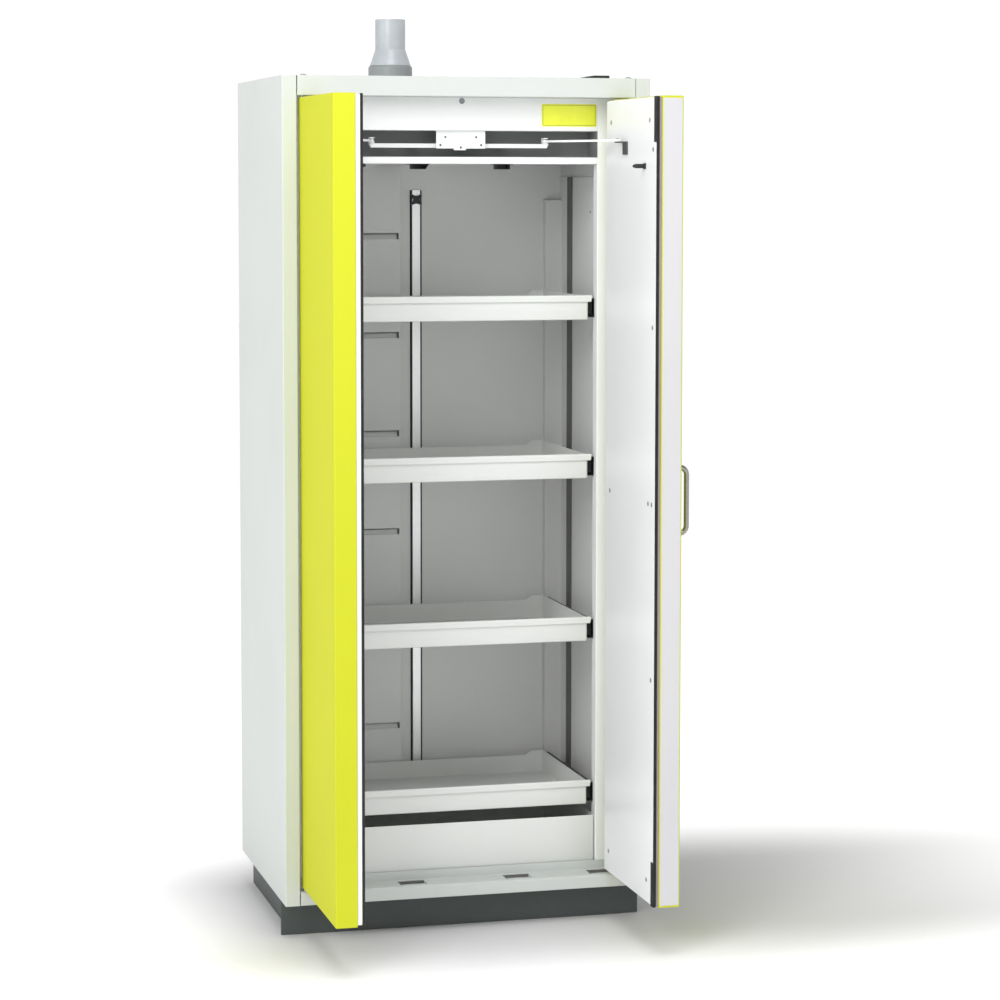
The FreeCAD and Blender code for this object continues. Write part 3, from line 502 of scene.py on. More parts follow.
def makeCasing():
    size = casing
    low, high = corners("side_panel_right")
    frameFace = corners("front_jambs")[0][1]
    stripEdge = low[0]
    line = [(high[0] - size["rearFlange"], high[1]), (high[0], high[1]), (high[0], low[1]), (stripEdge, low[1]),
            (stripEdge, frameFace)]
    side = foldedSheet(line, -size["sheet"], size["bend"], "z", low[2], high[2], steps=6)
    low, high = corners("front_fascia")
    line = [(low[1], high[2]), (low[1], low[2]), (high[1], low[2])]
    fascia = foldedSheet(line, size["sheet"], size["bend"], "x", low[0] + size["seam"], high[0] - size["seam"], steps=6)
    for node, part in (("side_panel_right", side), ("side_panel_left", mirrored(side)), ("front_fascia", fascia)):
        remake(node, "casingWhite", [part], size["softEdge"])
    for node in ("top_panel", "rear_and_bottom_panels"):
        softened(node, "casingWhite", size["softEdge"])
    dress("insulation_boards", "mineralBoard")


# Sill: a front edge with a bright round fold, a ledge with pressed pockets, and the step to the frame
sill = {"sheet": 1.2, "bend": 3.2, "ledgeFront": 8.0, "ledgeBack": 6.0, "pocketWidth": 66.0, "pocketDepth": 42.0,
        "pocketFront": 18.0, "pocketSink": 8.0, "pocketWall": 1.0, "pocketCorner": 4.0, "pocketX": (128.0, 335.0),
        "ridgeSetback": 1.2, "ridgeHeight": 1.2, "ridgeWidth": 3.0, "ridgeGap": 60.0, "shadeBarDepth": 5.0,
        "screwRadius": 3.2, "screwSpread": 20.0, "screwInset": 9.0}


def makeSill():
    size = sill
    low, high = corners("threshold_sill")
    front, frameFace = low[1], high[1] - size["sheet"]
    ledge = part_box("front_jambs")[0][2] * 1000.0
    y0, y1 = front + size["ledgeFront"], frameFace - size["ledgeBack"]
    lowTop = ledge - size["sheet"]
    x0, x1 = low[0] + casing["seam"], high[0] - casing["seam"]
    parts = [
        foldedSheet([(front, low[2]), (front, ledge), (y0, ledge)], -size["sheet"], size["bend"], "x", x0, x1, steps=6),
        foldedSheet([(y1, ledge), (frameFace, ledge), (frameFace, high[2])], -size["sheet"],
                    [0.0, 1.0, 0.0], "x", x0, x1),
    ]
    pocketMiddle = front + size["pocketFront"] + size["pocketDepth"] / 2
    tileMiddle = (y0 + y1) / 2
    shift = pocketMiddle - tileMiddle
    spots = sorted([-x for x in size["pocketX"]] + list(size["pocketX"]))
    edges = [x0] + [(a + b) / 2 for a, b in zip(spots[:-1], spots[1:])] + [x1]
    halfV = (y1 - y0) / 2
    hu, hv, corner, wall = size["pocketWidth"] / 2, size["pocketDepth"] / 2, size["pocketCorner"], size["pocketWall"]
    floor = ledge - size["pocketSink"]
    base = floor + wall
    for k, x in enumerate(spots):
        halfU, tileX = (edges[k + 1] - edges[k]) / 2, (edges[k] + edges[k + 1]) / 2

        def ring(inset, level, cut=None):
            return (hu - inset, hv - inset, corner - inset if cut is None else cut, level, x - tileX, shift)

        outer = [ring(1.0, floor), ring(0.0, floor + 1.0), ring(0.0, lowTop), (halfU, halfV, 0.0, lowTop),
                 (halfU, halfV, 0.0, ledge), ring(-1.0, ledge)]
        inner = [ring(0.0, ledge), ring(0.6, ledge - 0.2), ring(wall, ledge - 0.9), ring(wall, base + 1.2),
                 ring(wall + 1.2, base), ring(wall + 2.0, base, 0.6)]
        parts.append(stacked(outer + inner, (tileX, tileMiddle, 0.0)))
    remake("threshold_sill", "casingWhite", parts)
    r = size["screwRadius"]
    profile = [(0.0, 0.0), (r, 0.0), (r, 0.5), (r - 0.6, 1.1), (1.6, 1.3), (1.3, 0.4), (0.0, 0.4)]
    heads = [turned(profile, (x + side * size["screwSpread"], pocketMiddle + hv - size["screwInset"], base), count=20)
             for x in spots for side in (-1, 1)]
    makePiece("sill_pocket_screws", "root", "zinc", heads)
    # Dark grey bars along the back and the left side of each pocket: painted shade where the pocket's walls shade its
    # floor
    near, back, bar = pocketMiddle - hv + wall, pocketMiddle + hv - wall, size["shadeBarDepth"]
    shadeBars = []
    for x in spots:
        left, right = x - hu + wall, x + hu - wall
        shadeBars.append(roundedSlab((left, back - bar, base), (right, back, ledge - 0.4), "x", 0.5, 0.8))
        shadeBars.append(roundedSlab((left, near, base), (left + bar, back - bar, ledge - 1.2), "y", 0.5, 0.8))
    makePiece("sill_pocket_shade_bars", "root", "uprightGrey", shadeBars)
    ridge = front + size["ridgeSetback"]
    bead = [roundedSlab((x0, y, ledge - 0.6), (x1, y + size["ridgeWidth"], ledge + size["ridgeHeight"]), "x", 0.6, 0.9)
            for y in (ridge, ridge + size["ridgeGap"])]
    makePiece("sill_beads", "root", "casingWhite", bead)


# Front frame: jambs, header, top rail and the notice plate
frontFrame = {"sheet": 1.2, "bend": 2.0, "railEdge": 1.6, "flangeEdge": 370.0, "headerGap": 0.3}


def makeFrontFrame():
    size = frontFrame
    low, high = corners("front_jambs")
    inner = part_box("header_panel")[1][0] * 1000.0
    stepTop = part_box("threshold_sill")[1][2] * 1000.0
    face, back = low[1], high[1]
    flange = size["flangeEdge"]
    line = [(high[0], face), (inner, face), (inner, back), (flange, back)]
    jamb = foldedSheet(line, -size["sheet"], size["bend"], "z", stepTop, high[2], steps=5)
    foot = foldedSheet([(inner, face + size["sheet"]), (inner, back), (flange, back)], -size["sheet"], size["bend"],
                       "z", low[2], stepTop)
    remake("front_jambs", "frameWhite", [jamb, mirrored(jamb), foot, mirrored(foot)])

    low, high = corners("header_panel")
    line = [(low[1], high[2]), (low[1], low[2]), (high[1], low[2])]
    gap = size["headerGap"]
    header = foldedSheet(line, size["sheet"], size["bend"], "x", low[0] + gap, high[0] - gap, steps=6)
    remake("header_panel", "frameWhite", [header], 0.3)
    low, high = corners("inner_top_rail")
    rail = roundedSlab(low, high, "x", size["railEdge"])
    remake("inner_top_rail", "frameWhite", [rail])
    dress("mechanism_recess", "recessGrey")


# Notice plate: a bare plate with a thin border line
notice = {"corner": 2.0, "edge": 0.2, "borderInset": 2.4, "borderWidth": 1.1, "borderLift": 0.06}


def makeNotice():
    size = notice
    low, high = corners("notice_plate")
    centre = (low + high) / 2
    halfU, halfV = (high[2] - low[2]) / 2, (high[0] - low[0]) / 2
    plate = roundedSlab((low[0], low[1] + size["borderLift"], low[2]), high, "y", size["edge"], size["corner"])
    remake("notice_plate", "noticeYellow", [plate])
    inset, width, face = size["borderInset"], size["borderWidth"], low[1]
    rows = [(halfU - inset - a, halfV - inset - a, 1.4 - a, level)
            for a, level in ((0.0, face + 0.2), (0.0, face), (width, face), (width, face + 0.2))]
    border = stacked(rows, (centre[0], 0.0, centre[2]), "y", loop=True)
    makePiece("notice_border", "root", "noticeEdge", [border])


# Caps on the roof and the plug in the header: shallow domes with a rolled rim; the profiles are (radius, level)
caps = {"x": 387.0, "y": -295.0, "plugHeight": 1951.0,
        "dome": ((0.0, 0.0), (7.5, 0.0), (7.5, 0.6), (7.0, 1.5), (6.0, 2.2), (4.0, 2.8), (2.0, 3.0), (0.0, 3.0)),
        "plug": ((0.0, 0.0), (7.0, 0.0), (7.0, -0.25), (6.6, -0.5), (5.2, -0.5), (4.6, -0.15), (0.0, -0.1))}


def makeCaps():
    size = caps
    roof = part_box("top_panel")[1][2] * 1000.0
    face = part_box("header_panel")[0][1] * 1000.0
    parts = [turned(size["dome"], (side * size["x"], size["y"], roof), count=32) for side in (-1, 1)]
    parts.append(turned(size["plug"], (0.0, face, size["plugHeight"]), "y", count=32))
    remake("cover_caps", "capGrey", parts)


# Trays: a drawn pan with a folded rim, and a wide rounded lip on its front
tray = {"wall": 1.2, "corner": 6.0, "foot": 2.6, "rim": 0.55, "lipHeight": 15.5, "lipReach": 4.0, "lipRound": 3.2,
        "lipHem": 0.5, "lipTaper": 3.0, "lipTaperFrom": 0.62, "sideDrop": 2.0, "rearDrop": 13.5, "rearMargin": 30.0,
        "rearSlope": 14.0, "half": 314.0, "railWeb": 5.0, "railInset": 4.9, "railGap": 0.4, "railEnd": 5.0}


# Pan: one wall section carried round a rounded rectangle, its top following the lower rear edge
def trayPan(low, high, half):
    size = tray
    y0, y1 = low[1] + size["lipReach"], high[1]
    halfY = (y1 - y0) / 2
    outline, outward = roundedOutline(half, halfY, size["corner"], 6)
    stepX = half - size["rearMargin"]
    cut = np.array([[stepX, halfY], [stepX - size["rearSlope"], halfY], [-stepX + size["rearSlope"], halfY],
                    [-stepX, halfY]])
    outline = np.vstack([outline[:6], cut, outline[6:]])
    outward = np.vstack([outward[:6], np.tile([[0.0, 1.0]], (4, 1)), outward[6:]])
    top = np.full(len(outline), high[2] - size["sideDrop"])
    top[7:9] = high[2] - size["rearDrop"]
    bottom, wall, foot, rim = low[2], size["wall"], size["foot"], size["rim"]
    quarter = np.linspace(0.0, math.pi / 2, 4)
    rows = [(foot + 0.8, bottom, 0)]
    rows += [(foot * (1 - math.sin(a)), bottom + foot * (1 - math.cos(a)), 0) for a in quarter]
    rows += [(0.0, -rim, 1), (0.2 * rim, -0.3 * rim, 1), (wall / 2, 0.0, 1), (wall - 0.2 * rim, -0.3 * rim, 1),
             (wall, -rim, 1)]
    rows += [(wall + foot * (1 - math.cos(a)), bottom + wall + foot * (1 - math.sin(a)), 0) for a in quarter]
    rows += [(wall + foot + 0.6, bottom + wall, 0)]
    grid = np.stack([np.column_stack([outline - inset * outward, np.full(len(outline), level) if not rimRow
                                      else top + level]) for inset, level, rimRow in rows])
    return shell(grid.reshape(-1, 3) + np.array([0.0, (y0 + y1) / 2, 0.0]),
                 gridFaces(len(rows), len(outline), capped=True))


# Lip: a rounded bar along the front whose ends draw in near the bottom
def trayLip(low, high, half):
    size = tray
    y0, y1 = low[1], low[1] + size["lipReach"] + size["wall"] + size["lipHem"]
    z0, z1 = high[2] - size["lipHeight"], high[2]
    outline = filleted([(y1, z0), (y0, z0), (y0, z1), (y1, z1)], [0.3, 1.2, size["lipRound"], 0.5], 5, closed=True,
                       hold=0.4)
    outline = np.vstack([outline, [[y1, z0 + 0.7 * size["lipHeight"]]]])
    layers = np.array([-1.0, 1.0])
    grid = np.stack([np.column_stack([np.full(len(outline), level), outline]) for level in layers])
    drop = (z1 - grid[..., 2]) / size["lipHeight"]
    ease = np.clip((drop - size["lipTaperFrom"]) / (1.0 - size["lipTaperFrom"]), 0.0, 1.0) ** 2
    grid[..., 0] *= half - size["lipTaper"] * ease
    return shell(grid.reshape(-1, 3), gridFaces(2, len(outline), capped=True))


def makeTrays():
    size = tray
    half = size["half"]
    for number in (1, 2, 3, 4):
        node = f"tray_{number}"
        low, high = corners(node)
        parts = [trayPan(low, high, half), trayLip(low, high, high[0])]
        remake(node, "trayWhite", parts)
        low, high = corners(f"tray_{number}_middle_rails")
        start = (half, low[1], low[2] + size["railInset"])
        end = (high[0] - size["railWeb"] - size["railGap"], high[1] - size["railEnd"], high[2] - size["railInset"])
        rail = roundedSlab(start, end, "y", 0.5, 0.8)
        makePiece(node + "_inner_rails", node, "railBlack", [rail, mirrored(rail)])
        softened(f"tray_{number}_middle_rails", "railBlack", 0.25)
    softened("runner_fixed_rails", "railBlack", 0.3)
    softened("runner_uprights", "uprightGrey", 0.5)


# Sump: a drawn pan, its section given as (inset, level) from the floor up the outside and down the inside
sump = {"wall": 1.5, "foot": 2.5, "corner": 5.0}


def makeSump():
    wall, foot, corner = sump["wall"], sump["foot"], sump["corner"]
    low, high = corners("sump_pan")
    half, middle = (high - low) / 2, (high + low) / 2
    bottom, top = low[2], high[2]
    rows = [(foot + 0.8, bottom), (foot, bottom), (0.8, bottom + 0.8), (0.0, bottom + foot), (0.0, top - 0.8),
            (0.3, top - 0.2), (0.75, top), (1.2, top - 0.2), (wall, top - 0.8), (wall, bottom + wall + foot),
            (wall + 0.8, bottom + wall + 0.8), (wall + foot, bottom + wall), (wall + foot + 0.6, bottom + wall)]
    pan = stacked([(half[0] - i, half[1] - i, max(corner - i, 0.05), level) for i, level in rows],
                  (middle[0], middle[1], 0.0))
    remake("sump_pan", "trayWhite", [pan])


# Doors: painted outer pan, white inner pan, seal, free-edge strip, screws and grip
door = {"skinEdge": 2.6, "skinCorner": 3.2, "panEdge": 1.4, "panCorner": 4.0, "stripCorner": 2.0,
        "bulb": ((0.0, 0.0), (9.0, 0.0), (9.0, 2.0), (8.1, 3.0), (7.6, 4.8), (6.2, 6.0), (2.8, 6.0), (1.4, 4.8),
                 (0.9, 3.0), (0.0, 2.0)),
        "strip": ((0.0, 0.0), (0.0, 1.6), (0.5, 2.0), (2.3, 2.0), (2.7, 1.4), (3.8, 1.4), (4.2, 2.0), (6.0, 2.0),
                  (6.5, 1.6), (6.5, 0.0)),
        "padLength": 102.0, "sealOverhang": 2.0, "edgeShadeGap": 0.3, "padThickness": 1.0, "padCorner": 1.6}


# Seal of the left door: a bulb on the inner face; its section is (from the free side, out of the face)
def leafBulb(low, high):
    section = filleted(door["bulb"], 0.5, 2, closed=True, hold=0.1)
    outline = np.stack([low[0] + section[:, 1], low[1] + section[:, 0]], 1)
    return [extruded(outline, "z", low[2], high[2])]


# Seal of the right door: a ribbed strip on the edge of the inner pan, and pads that wrap onto its face
def leafEdgeSeal(low, high, panSide):
    size = door
    face = low[0] + size["padThickness"]
    section = filleted(size["strip"], 0.2, 2, closed=True, hold=0.05)
    outline = np.stack([face + section[:, 0], panSide - section[:, 1]], 1)
    parts = [extruded(outline, "z", low[2], high[2])]
    for z0 in (low[2], high[2] - size["padLength"]):
        parts.append(roundedSlab((low[0], panSide - size["sealOverhang"], z0),
                                 (face + 0.2, high[1], z0 + size["padLength"]), "x", 0.35, size["padCorner"]))
    return parts


# Grey-mauve strip behind the seal of the right door, on the free edge: painted shade on the inner pan's side edge
def leafEdgeShade(low, high, panSide):
    size = door
    x0 = low[0] + size["padThickness"] + size["strip"][-1][0] + size["edgeShadeGap"]
    z0, z1 = low[2] + size["sealOverhang"], high[2] - size["sealOverhang"]
    return roundedSlab((x0, low[1], z0), (high[0], panSide, z1), "x", 0.5, 1.2)


def makeLeaf(hand):
    side = 1 if hand == "right" else -1
    size = door

    def named(part):
        return f"{hand}_door_{part}"

    low, high = corners(named("skin"))
    skin = roundedSlab(low, high, "x", size["skinEdge"], size["skinCorner"], steps=5)
    remake(named("skin"), "doorYellow", [skin], also=[named("core")])
    low, high = corners(named("inner_pan"))
    pan = roundedSlab(low, high, "x", size["panEdge"], size["panCorner"], steps=4)
    remake(named("inner_pan"), "doorWhite", [pan])
    panSide = low[1]

    low, high = corners(named("seal"))
    parts = leafEdgeSeal(low, high, panSide) if side > 0 else leafBulb(low, high)
    remake(named("seal"), "sealBlack", parts, 0.3)
    if side > 0:
        # Painted shade: a grey-mauve strip on the inner pan's side edge
        makePiece(named("gasket"), hand + "_door", "edgeShadeMauve", [leafEdgeShade(low, high, panSide)])

    softened(named("arm_lug"), "lugGrey", 0.6)
    softened(named("tongue"), "blackPlastic", 0.7)
    makeScrews(named("screws"), screwHeads(named("screws"), "x", -side), "zinc")


# Points of a screw lie within `cell`, and the screws stand more than `reach` apart
screws = {"cell": 12.0, "reach": 14.0}


# Button heads with a socket, one on each screw of a node, or of the half of it that lies to one side
def screwHeads(node, axis, facing, half=0):
    size = screws
    mesh = frame["nodes"][node].data
    points = np.zeros(len(mesh.vertices) * 3)
    mesh.vertices.foreach_get("co", points)
    points = points.reshape(-1, 3) * 1000.0
    along = {"x": 0, "y": 1, "z": 2}[axis]
    across = [k for k in range(3) if k != along]
    if half:
        points = points[points[:, along] * half > 0]
    cells = {}
    for key, point in zip(map(tuple, np.round(points[:, across] / size["cell"]).astype(int)), points):
        cells.setdefault(key, []).append(point)
    groups = []
    for cell in cells.values():
        for group in groups:
            if np.linalg.norm(np.array(group[0])[across] - np.array(cell[0])[across]) < size["reach"]:
                group.extend(cell)
                break
        else:
            groups.append(list(cell))
    heads = []
    for group in groups:
        group = np.array(group)
        low, high = group.min(0), group.max(0)
        centre = (low + high) / 2
        radius = (high[across[0]] - low[across[0]]) / 2
        rise = high[along] - low[along]
        centre[along] = low[along] if facing > 0 else high[along]
        profile = [(0.0, 0.0), (radius, 0.0), (radius, 0.35 * rise), (0.86 * radius, 0.8 * rise), (0.6 * radius, rise),
                   (0.46 * radius, rise), (0.4 * radius, 0.35 * rise), (0.0, 0.3 * rise)]
        heads.append(turned([(r, facing * z) for r, z in profile], centre, axis, count=24))
    return heads


def makeScrews(node, heads, finish):
    remake(node, finish, heads)
    print(node, len(heads))


# Free-edge strip of the right door and its D grip
grip = {"radius": 6.0, "corner": 17.0, "steps": 10, "stripEdge": 0.2}


def makeGripAndStrip():
    size = grip
    low, high = corners("right_door_edge_strip")
    strip = roundedSlab(low, high, "y", size["stripEdge"], door["stripCorner"])
    # The strip's finish is the door white darkened as painted shade
    remake("right_door_edge_strip", "stripWhitePaintedShade", [strip])

    low, high = corners("right_door_grip")
    r = size["radius"]
    y, x0, x1 = (low[1] + high[1]) / 2, low[0], high[0] - r
    z0, z1 = low[2] + r, high[2] - r
    line = filleted([(x0, z1), (x1, z1), (x1, z0), (x0, z0)], size["corner"], size["steps"], hold=1.5)
    path = np.stack([line[:, 0], np.full(len(line), y), line[:, 1]], 1)
    remake("right_door_grip", "gripSteel", [roundBar(path, (0.0, 1.0, 0.0), r, 24)])


# Exhaust connection: collar with a chamfer, and a reducer with a socket rim and a drawn neck
exhaust = {"tube": 37.0, "wall": 1.8, "coneMouth": 50.0, "coneBore": 48.2, "coneHeight": 38.0, "grooveHeight": 9.0}


def makeExhaust():
    size = exhaust
    tube, wall, groove = size["tube"], size["wall"], size["grooveHeight"]
    low, high = corners("exhaust_collar")
    centre = ((low[0] + high[0]) / 2, (low[1] + high[1]) / 2, 0.0)
    radius = (high[0] - low[0]) / 2
    z0, z1 = low[2], high[2]
    collar = [(tube, z0), (radius, z0), (radius, z0 + 0.6), (radius - 0.8, z0 + 1.4), (radius - 0.8, z0 + groove),
              (radius, z0 + groove + 1.0), (radius, z1 - 5.0), (radius - 0.6, z1 - 4.2), (radius - 3.4, z1 - 0.5),
              (radius - 4.2, z1), (tube, z1)]
    remake("exhaust_collar", "collarGrey", [turned(collar, centre, loop=True, count=72)])
    low, high = corners("exhaust_spigot")
    z0, z1 = low[2], high[2]
    mouth, bore, neck, inside = size["coneMouth"], size["coneBore"], z0 + size["coneHeight"], tube - wall
    spigot = [(bore, z0), (mouth, z0), (mouth, z0 + 1.4), (mouth - 0.6, z0 + 2.6), (tube + 1.2, neck - 2.4),
              (tube + 0.4, neck - 1.0), (tube, neck + 0.8), (tube, neck + 2.0), (tube, z1 - 1.4),
              (tube - 0.2, z1 - 0.5), (tube - 0.7, z1), (inside + 0.3, z1), (inside, z1 - 0.4), (inside, neck),
              (bore, z0 + 1.6)]
    remake("exhaust_spigot", "pipeGrey", [turned(spigot, centre, loop=True, count=72)])
    softened("exhaust_flap", "zinc", 0.3)
    softened("roof_housing", "blackPlastic", 1.2, 3)


# Small parts of the mechanism and the storage space: their own shapes with soft edges
def makeFittings():
    for node, finish, width, slot in (
        ("guide_rail", "frameWhite", 0.8, "frame_paint"),
        ("guide_cover_plate", "frameWhite", 0.5, "frame_paint"),
        ("door_catches", "blackPlastic", 0.5, "black_plastic"),
        ("exhaust_duct_panel", "ductGrey", 0.4, "duct_sheet"),
        ("rear_channel_rail_and_clip", "railAluminium", 0.6, "frame_paint"),
        ("corner_duct", "ductGrey", 1.2, "duct_sheet"),
        ("right_closing_arm", "frameWhite", 0.6, "frame_paint"),
        ("left_closing_arm", "frameWhite", 0.6, "frame_paint"),
        ("right_guide_slider", "frameWhite", 0.4, "frame_paint"),
        ("left_guide_slider", "frameWhite", 0.4, "frame_paint"),
        ("hinge_pins", "zinc", 0.5, "zinc"),
        ("plinth_frame", "plinthGrey", 0.5, "plinth_paint"),
        ("levelling_feet", "blackPlastic", 0.8, "black_plastic"),
        ("liner_panels", "linerGrey", 0.4, "liner_board"),
    ):
        softened(node, finish, width)
    heads = [head for side in (-1, 1) for head in screwHeads("panel_screws", "y", side, side)]
    makeScrews("panel_screws", heads, "screwSteel")


# A plug in the right wall: its place, and its profile of (radius, level)
linerPlug = {"place": (367.0, -52.2, 1690.6),
             "profile": ((0.0, 0.0), (3.0, 0.0), (3.0, -0.6), (2.2, -1.4), (0.0, -1.6))}


def makeLinerPlug():
    plug = turned(linerPlug["profile"], linerPlug["place"], "x", count=24)
    makePiece("liner_plug", "root", "capGrey", [plug])


# Louvres: a leaf bent in behind each slot of the exhaust duct, open along its top
louvre = {"slotHeight": 15.0, "slotPitch": 245.0, "slotFirstDrop": 176.0, "slotCount": 6, "slotLeft": 40.0,
          "slotRight": 5.0, "wall": 2.0, "sheet": 0.8, "lean": 8.0, "rise": 11.5, "endGap": 4.0}


def makeLouvres():
    size = louvre
    low, high = corners("exhaust_duct_panel")
    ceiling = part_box("inner_top_rail")[0][2] * 1000.0
    y0 = low[1] + size["wall"]
    parts = []
    for index in range(size["slotCount"]):
        foot = ceiling - size["slotFirstDrop"] - size["slotPitch"] * index - size["slotHeight"] / 2
        line = [(y0 - 0.6, foot - 0.2), (y0 + 1.5, foot + 0.6), (y0 + size["lean"], foot + size["rise"])]
        parts.append(foldedSheet(line, size["sheet"], 1.5, "x", low[0] + size["slotLeft"],
                                 high[0] - size["slotRight"] - size["endGap"]))
    makePiece("duct_slot_louvres", "root", "ductGrey", parts)


# Black strips in the gaps on both sides of the rear channel's rail, between rail and slot: painted shade that darkens
# the gaps
channelShadeStrips = {"centre": -6.0, "railHalf": 10.25, "slotHalf": 15.0, "railGap": 0.3, "slotGap": 0.2, "top": 1742.5,
           "proud": 0.8, "sunk": 2.2}


def makeChannelShadeStrips():
    size = channelShadeStrips
    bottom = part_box("rear_channel_rail_and_clip")[0][2] * 1000.0 + 0.5
    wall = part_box("exhaust_duct_panel")[1][1] * 1000.0
    parts = []
    for side in (-1, 1):
        x0, x1 = sorted((size["centre"] + side * (size["railHalf"] + size["railGap"]),
                         size["centre"] + side * (size["slotHalf"] - size["slotGap"])))
        parts.append(roundedSlab((x0, wall - size["proud"], bottom), (x1, wall + size["sunk"], size["top"]), "z",
                                 0.4, 0.6))
    # Painted shade: black strips filling the rail's gaps
    makePiece("rear_channel_shade_strips", "root", "sealBlack", parts)


# Plinth cover: a folded front with rounded ends
plinth = {"sheet": 2.0, "edge": 0.9, "corner": 1.4, "shelfHalf": 385.0}


def makePlinth():
    size = plinth
    low, high = corners("plinth_front_cover")
    back, under, half = low[1] + size["sheet"], high[2] - size["sheet"], size["shelfHalf"]
    face = roundedSlab(low, (high[0], back, high[2]), "y", size["edge"], size["corner"])
    shelf = roundedSlab((-half, back, under), (half, high[1], high[2]), "z", 0.4)
    remake("plinth_front_cover", "plinthGrey", [face, shelf])


# Clip of the rear channel in black over its rail: a cross-shaped plate with a waist and notched ends
clip = {"top": 1733.0, "half": 13.0, "height": 28.0, "waist": 8.0, "notch": 4.0, "mouth": 3.0, "thickness": 6.0,
        "proud": 0.15}


def makeClip():
    size = clip
    low, high = corners("rear_channel_rail_and_clip")
    x, top, waist = (low[0] + high[0]) / 2, size["top"], size["waist"]
    middle = top - size["height"] / 2
    quarter = [(size["mouth"], top - size["notch"]), (size["half"], top), (size["half"], middle + waist),
               (waist, middle)]
    right = quarter + [(u, 2 * middle - z) for u, z in quarter[:-1][::-1]]
    outline = right + [(-u, z) for u, z in right[::-1]]
    plate = extruded([(z, x + u) for u, z in outline], "y", low[1] - size["proud"], low[1] + size["thickness"])
    makePiece("rear_channel_clip", "root", "blackPlastic", [plate], bevel=0.8)


# Studio: a pale floor that glows away from the cabinet, a bright horizon under a dimmer sky, and soft lights
studio = {"floorSize": 600.0, "floorTone": (222, 222, 222), "glow": 0.68, "glowStart": 0.02, "glowEnd": 0.6,
          "paintedShadowBox": ((-0.34, 0.55, 0.35), (-0.36, 0.2, 1.0)), "horizon": 1.05, "sky": 0.28, "skyStart": 0.22,
          "skyEnd": 0.6,
          "lights": (("keyLight", (-3.2, -4.2, 3.6), (0.0, -0.2, 1.3), 2.4, 101.0),
                     ("sideLight", (-5.0, -1.0, 2.5), (0.0, -0.2, 1.3), 2.4, 32.0),
                     ("frontLight", (-0.5, -2.6, 4.4), (0.0, -0.2, 1.3), 2.0, 71.0),
                     ("topLight", (0.0, 0.2, 5.0), (0.0, 0.0, 0.0), 3.4, 20.0))}


# Floor: its own glow grows with the distance from a box round the cabinet that reaches far out to its right; inside
# that box the floor stays grey, a painted shadow
def floorFinish():
    size = studio
    paint = Finish("studioFloor", tone(*size["floorTone"]), 0.75, specular=0.2)

    # Squared distance beyond the painted shadow box along one axis; past its high side the distance is scaled by the
    # stretch
    def beyond(axis):
        x0, x1, stretch = size["paintedShadowBox"][axis]
        place = paint.along(axis)
        away = paint.maths("MAXIMUM", x0 - place) + paint.maths("MAXIMUM", place - x1) * stretch
        return away * away

    distance = paint.maths("SQRT", beyond(0) + beyond(1))
    glow = paint.mask(distance, size["glowStart"], size["glowEnd"]) * size["glow"]
    grey = paint.node("ShaderNodeCombineColor", {}, {0: glow, 1: glow, 2: glow})
    paint.feed("Emission Color", grey)
    paint.feed("Emission Strength", 1.0)
    return paint.material


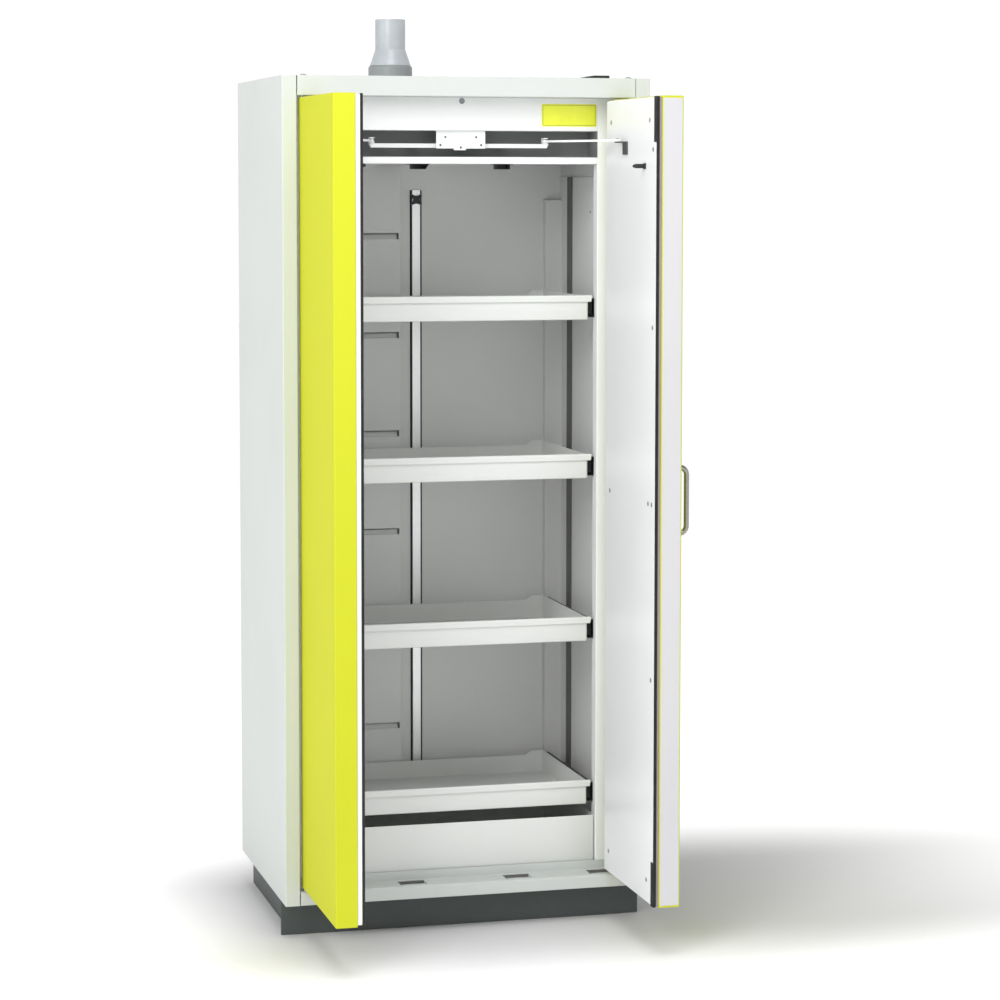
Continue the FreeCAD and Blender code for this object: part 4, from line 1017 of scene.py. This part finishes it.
def makeStudio():
    size = studio
    half = size["floorSize"] / 2
    mesh = bpy.data.meshes.new("studioFloor")
    mesh.from_pydata([(-half, -half, 0.0), (half, -half, 0.0), (half, half, 0.0), (-half, half, 0.0)], [],
                     [(0, 1, 2, 3)])
    mesh.materials.append(floorFinish())
    linked("studioFloor", mesh)
    world = bpy.data.worlds.new("studio")
    world.use_nodes = True
    tree = world.node_tree
    place = tree.nodes.new("ShaderNodeTexCoord")
    split = tree.nodes.new("ShaderNodeSeparateXYZ")
    rise = tree.nodes.new("ShaderNodeMapRange")
    rise.interpolation_type = "SMOOTHSTEP"
    for key, value in (("From Min", size["skyStart"]), ("From Max", size["skyEnd"]),
                       ("To Min", size["horizon"]), ("To Max", size["sky"])):
        rise.inputs[key].default_value = value
    tree.links.new(place.outputs["Generated"], split.inputs[0])
    tree.links.new(split.outputs["Z"], rise.inputs["Value"])
    tree.links.new(rise.outputs[0], tree.nodes["Background"].inputs["Strength"])
    tree.nodes["Background"].inputs["Color"].default_value = (1.0, 1.0, 1.0, 1.0)
    bpy.context.scene.world = world
    for name, place, target, width, power in size["lights"]:
        light = bpy.data.lights.new(name, "AREA")
        light.shape = "DISK"
        light.size = width
        light.energy = power
        lamp = linked(name, light)
        lamp.location = place
        lamp.rotation_mode = "QUATERNION"
        lamp.rotation_quaternion = (Vector(target) - Vector(place)).to_track_quat("-Z", "Y")
    bpy.context.scene.view_settings.view_transform = "Standard"
    print("studio lit:", len(size["lights"]), "lights")


# Camera at the photograph's angle: place in metres, turns in radians, lens and sensor in millimetres
camera = {"place": (-1.64619, -6.91978, 1.75958), "yaw": 0.2595245, "pitch": 0.0788849, "roll": 0.001176,
          "lens": 105.73, "shiftX": -0.01479, "shiftY": -0.08441, "sensor": 36.0, "farthest": 1000.0}


def makeCamera():
    size = camera
    yaw, pitch, roll = size["yaw"], size["pitch"], size["roll"]
    forward = Vector((math.sin(yaw) * math.cos(pitch), math.cos(yaw) * math.cos(pitch), -math.sin(pitch)))
    level = Vector((math.cos(yaw), -math.sin(yaw), 0.0))
    up = level.cross(forward)
    right = level * math.cos(roll) + up * math.sin(roll)
    top = up * math.cos(roll) - level * math.sin(roll)
    data = bpy.data.cameras.new("photoCamera")
    data.sensor_width = size["sensor"]
    data.lens = size["lens"]
    data.shift_x, data.shift_y = size["shiftX"], size["shiftY"]
    data.clip_end = size["farthest"]
    shot = linked("photoCamera", data)
    turn = Matrix((right, top, -forward)).transposed().to_4x4()
    shot.matrix_world = Matrix.Translation(Vector(size["place"])) @ turn
    bpy.context.scene.camera = shot
    print("camera placed")


makeFinishes()
makeCasing()
makeSill()
makeFrontFrame()
makeNotice()
makeCaps()
print("casing and frame made")
makeTrays()
makeSump()
print("trays made")
makeLeaf("right")
makeLeaf("left")
makeGripAndStrip()
print("doors made")
makeExhaust()
makeFittings()
makeLinerPlug()
makeClip()
makeLouvres()
makeChannelShadeStrips()
makePlinth()
print("fittings made")
makeStudio()
makeCamera()
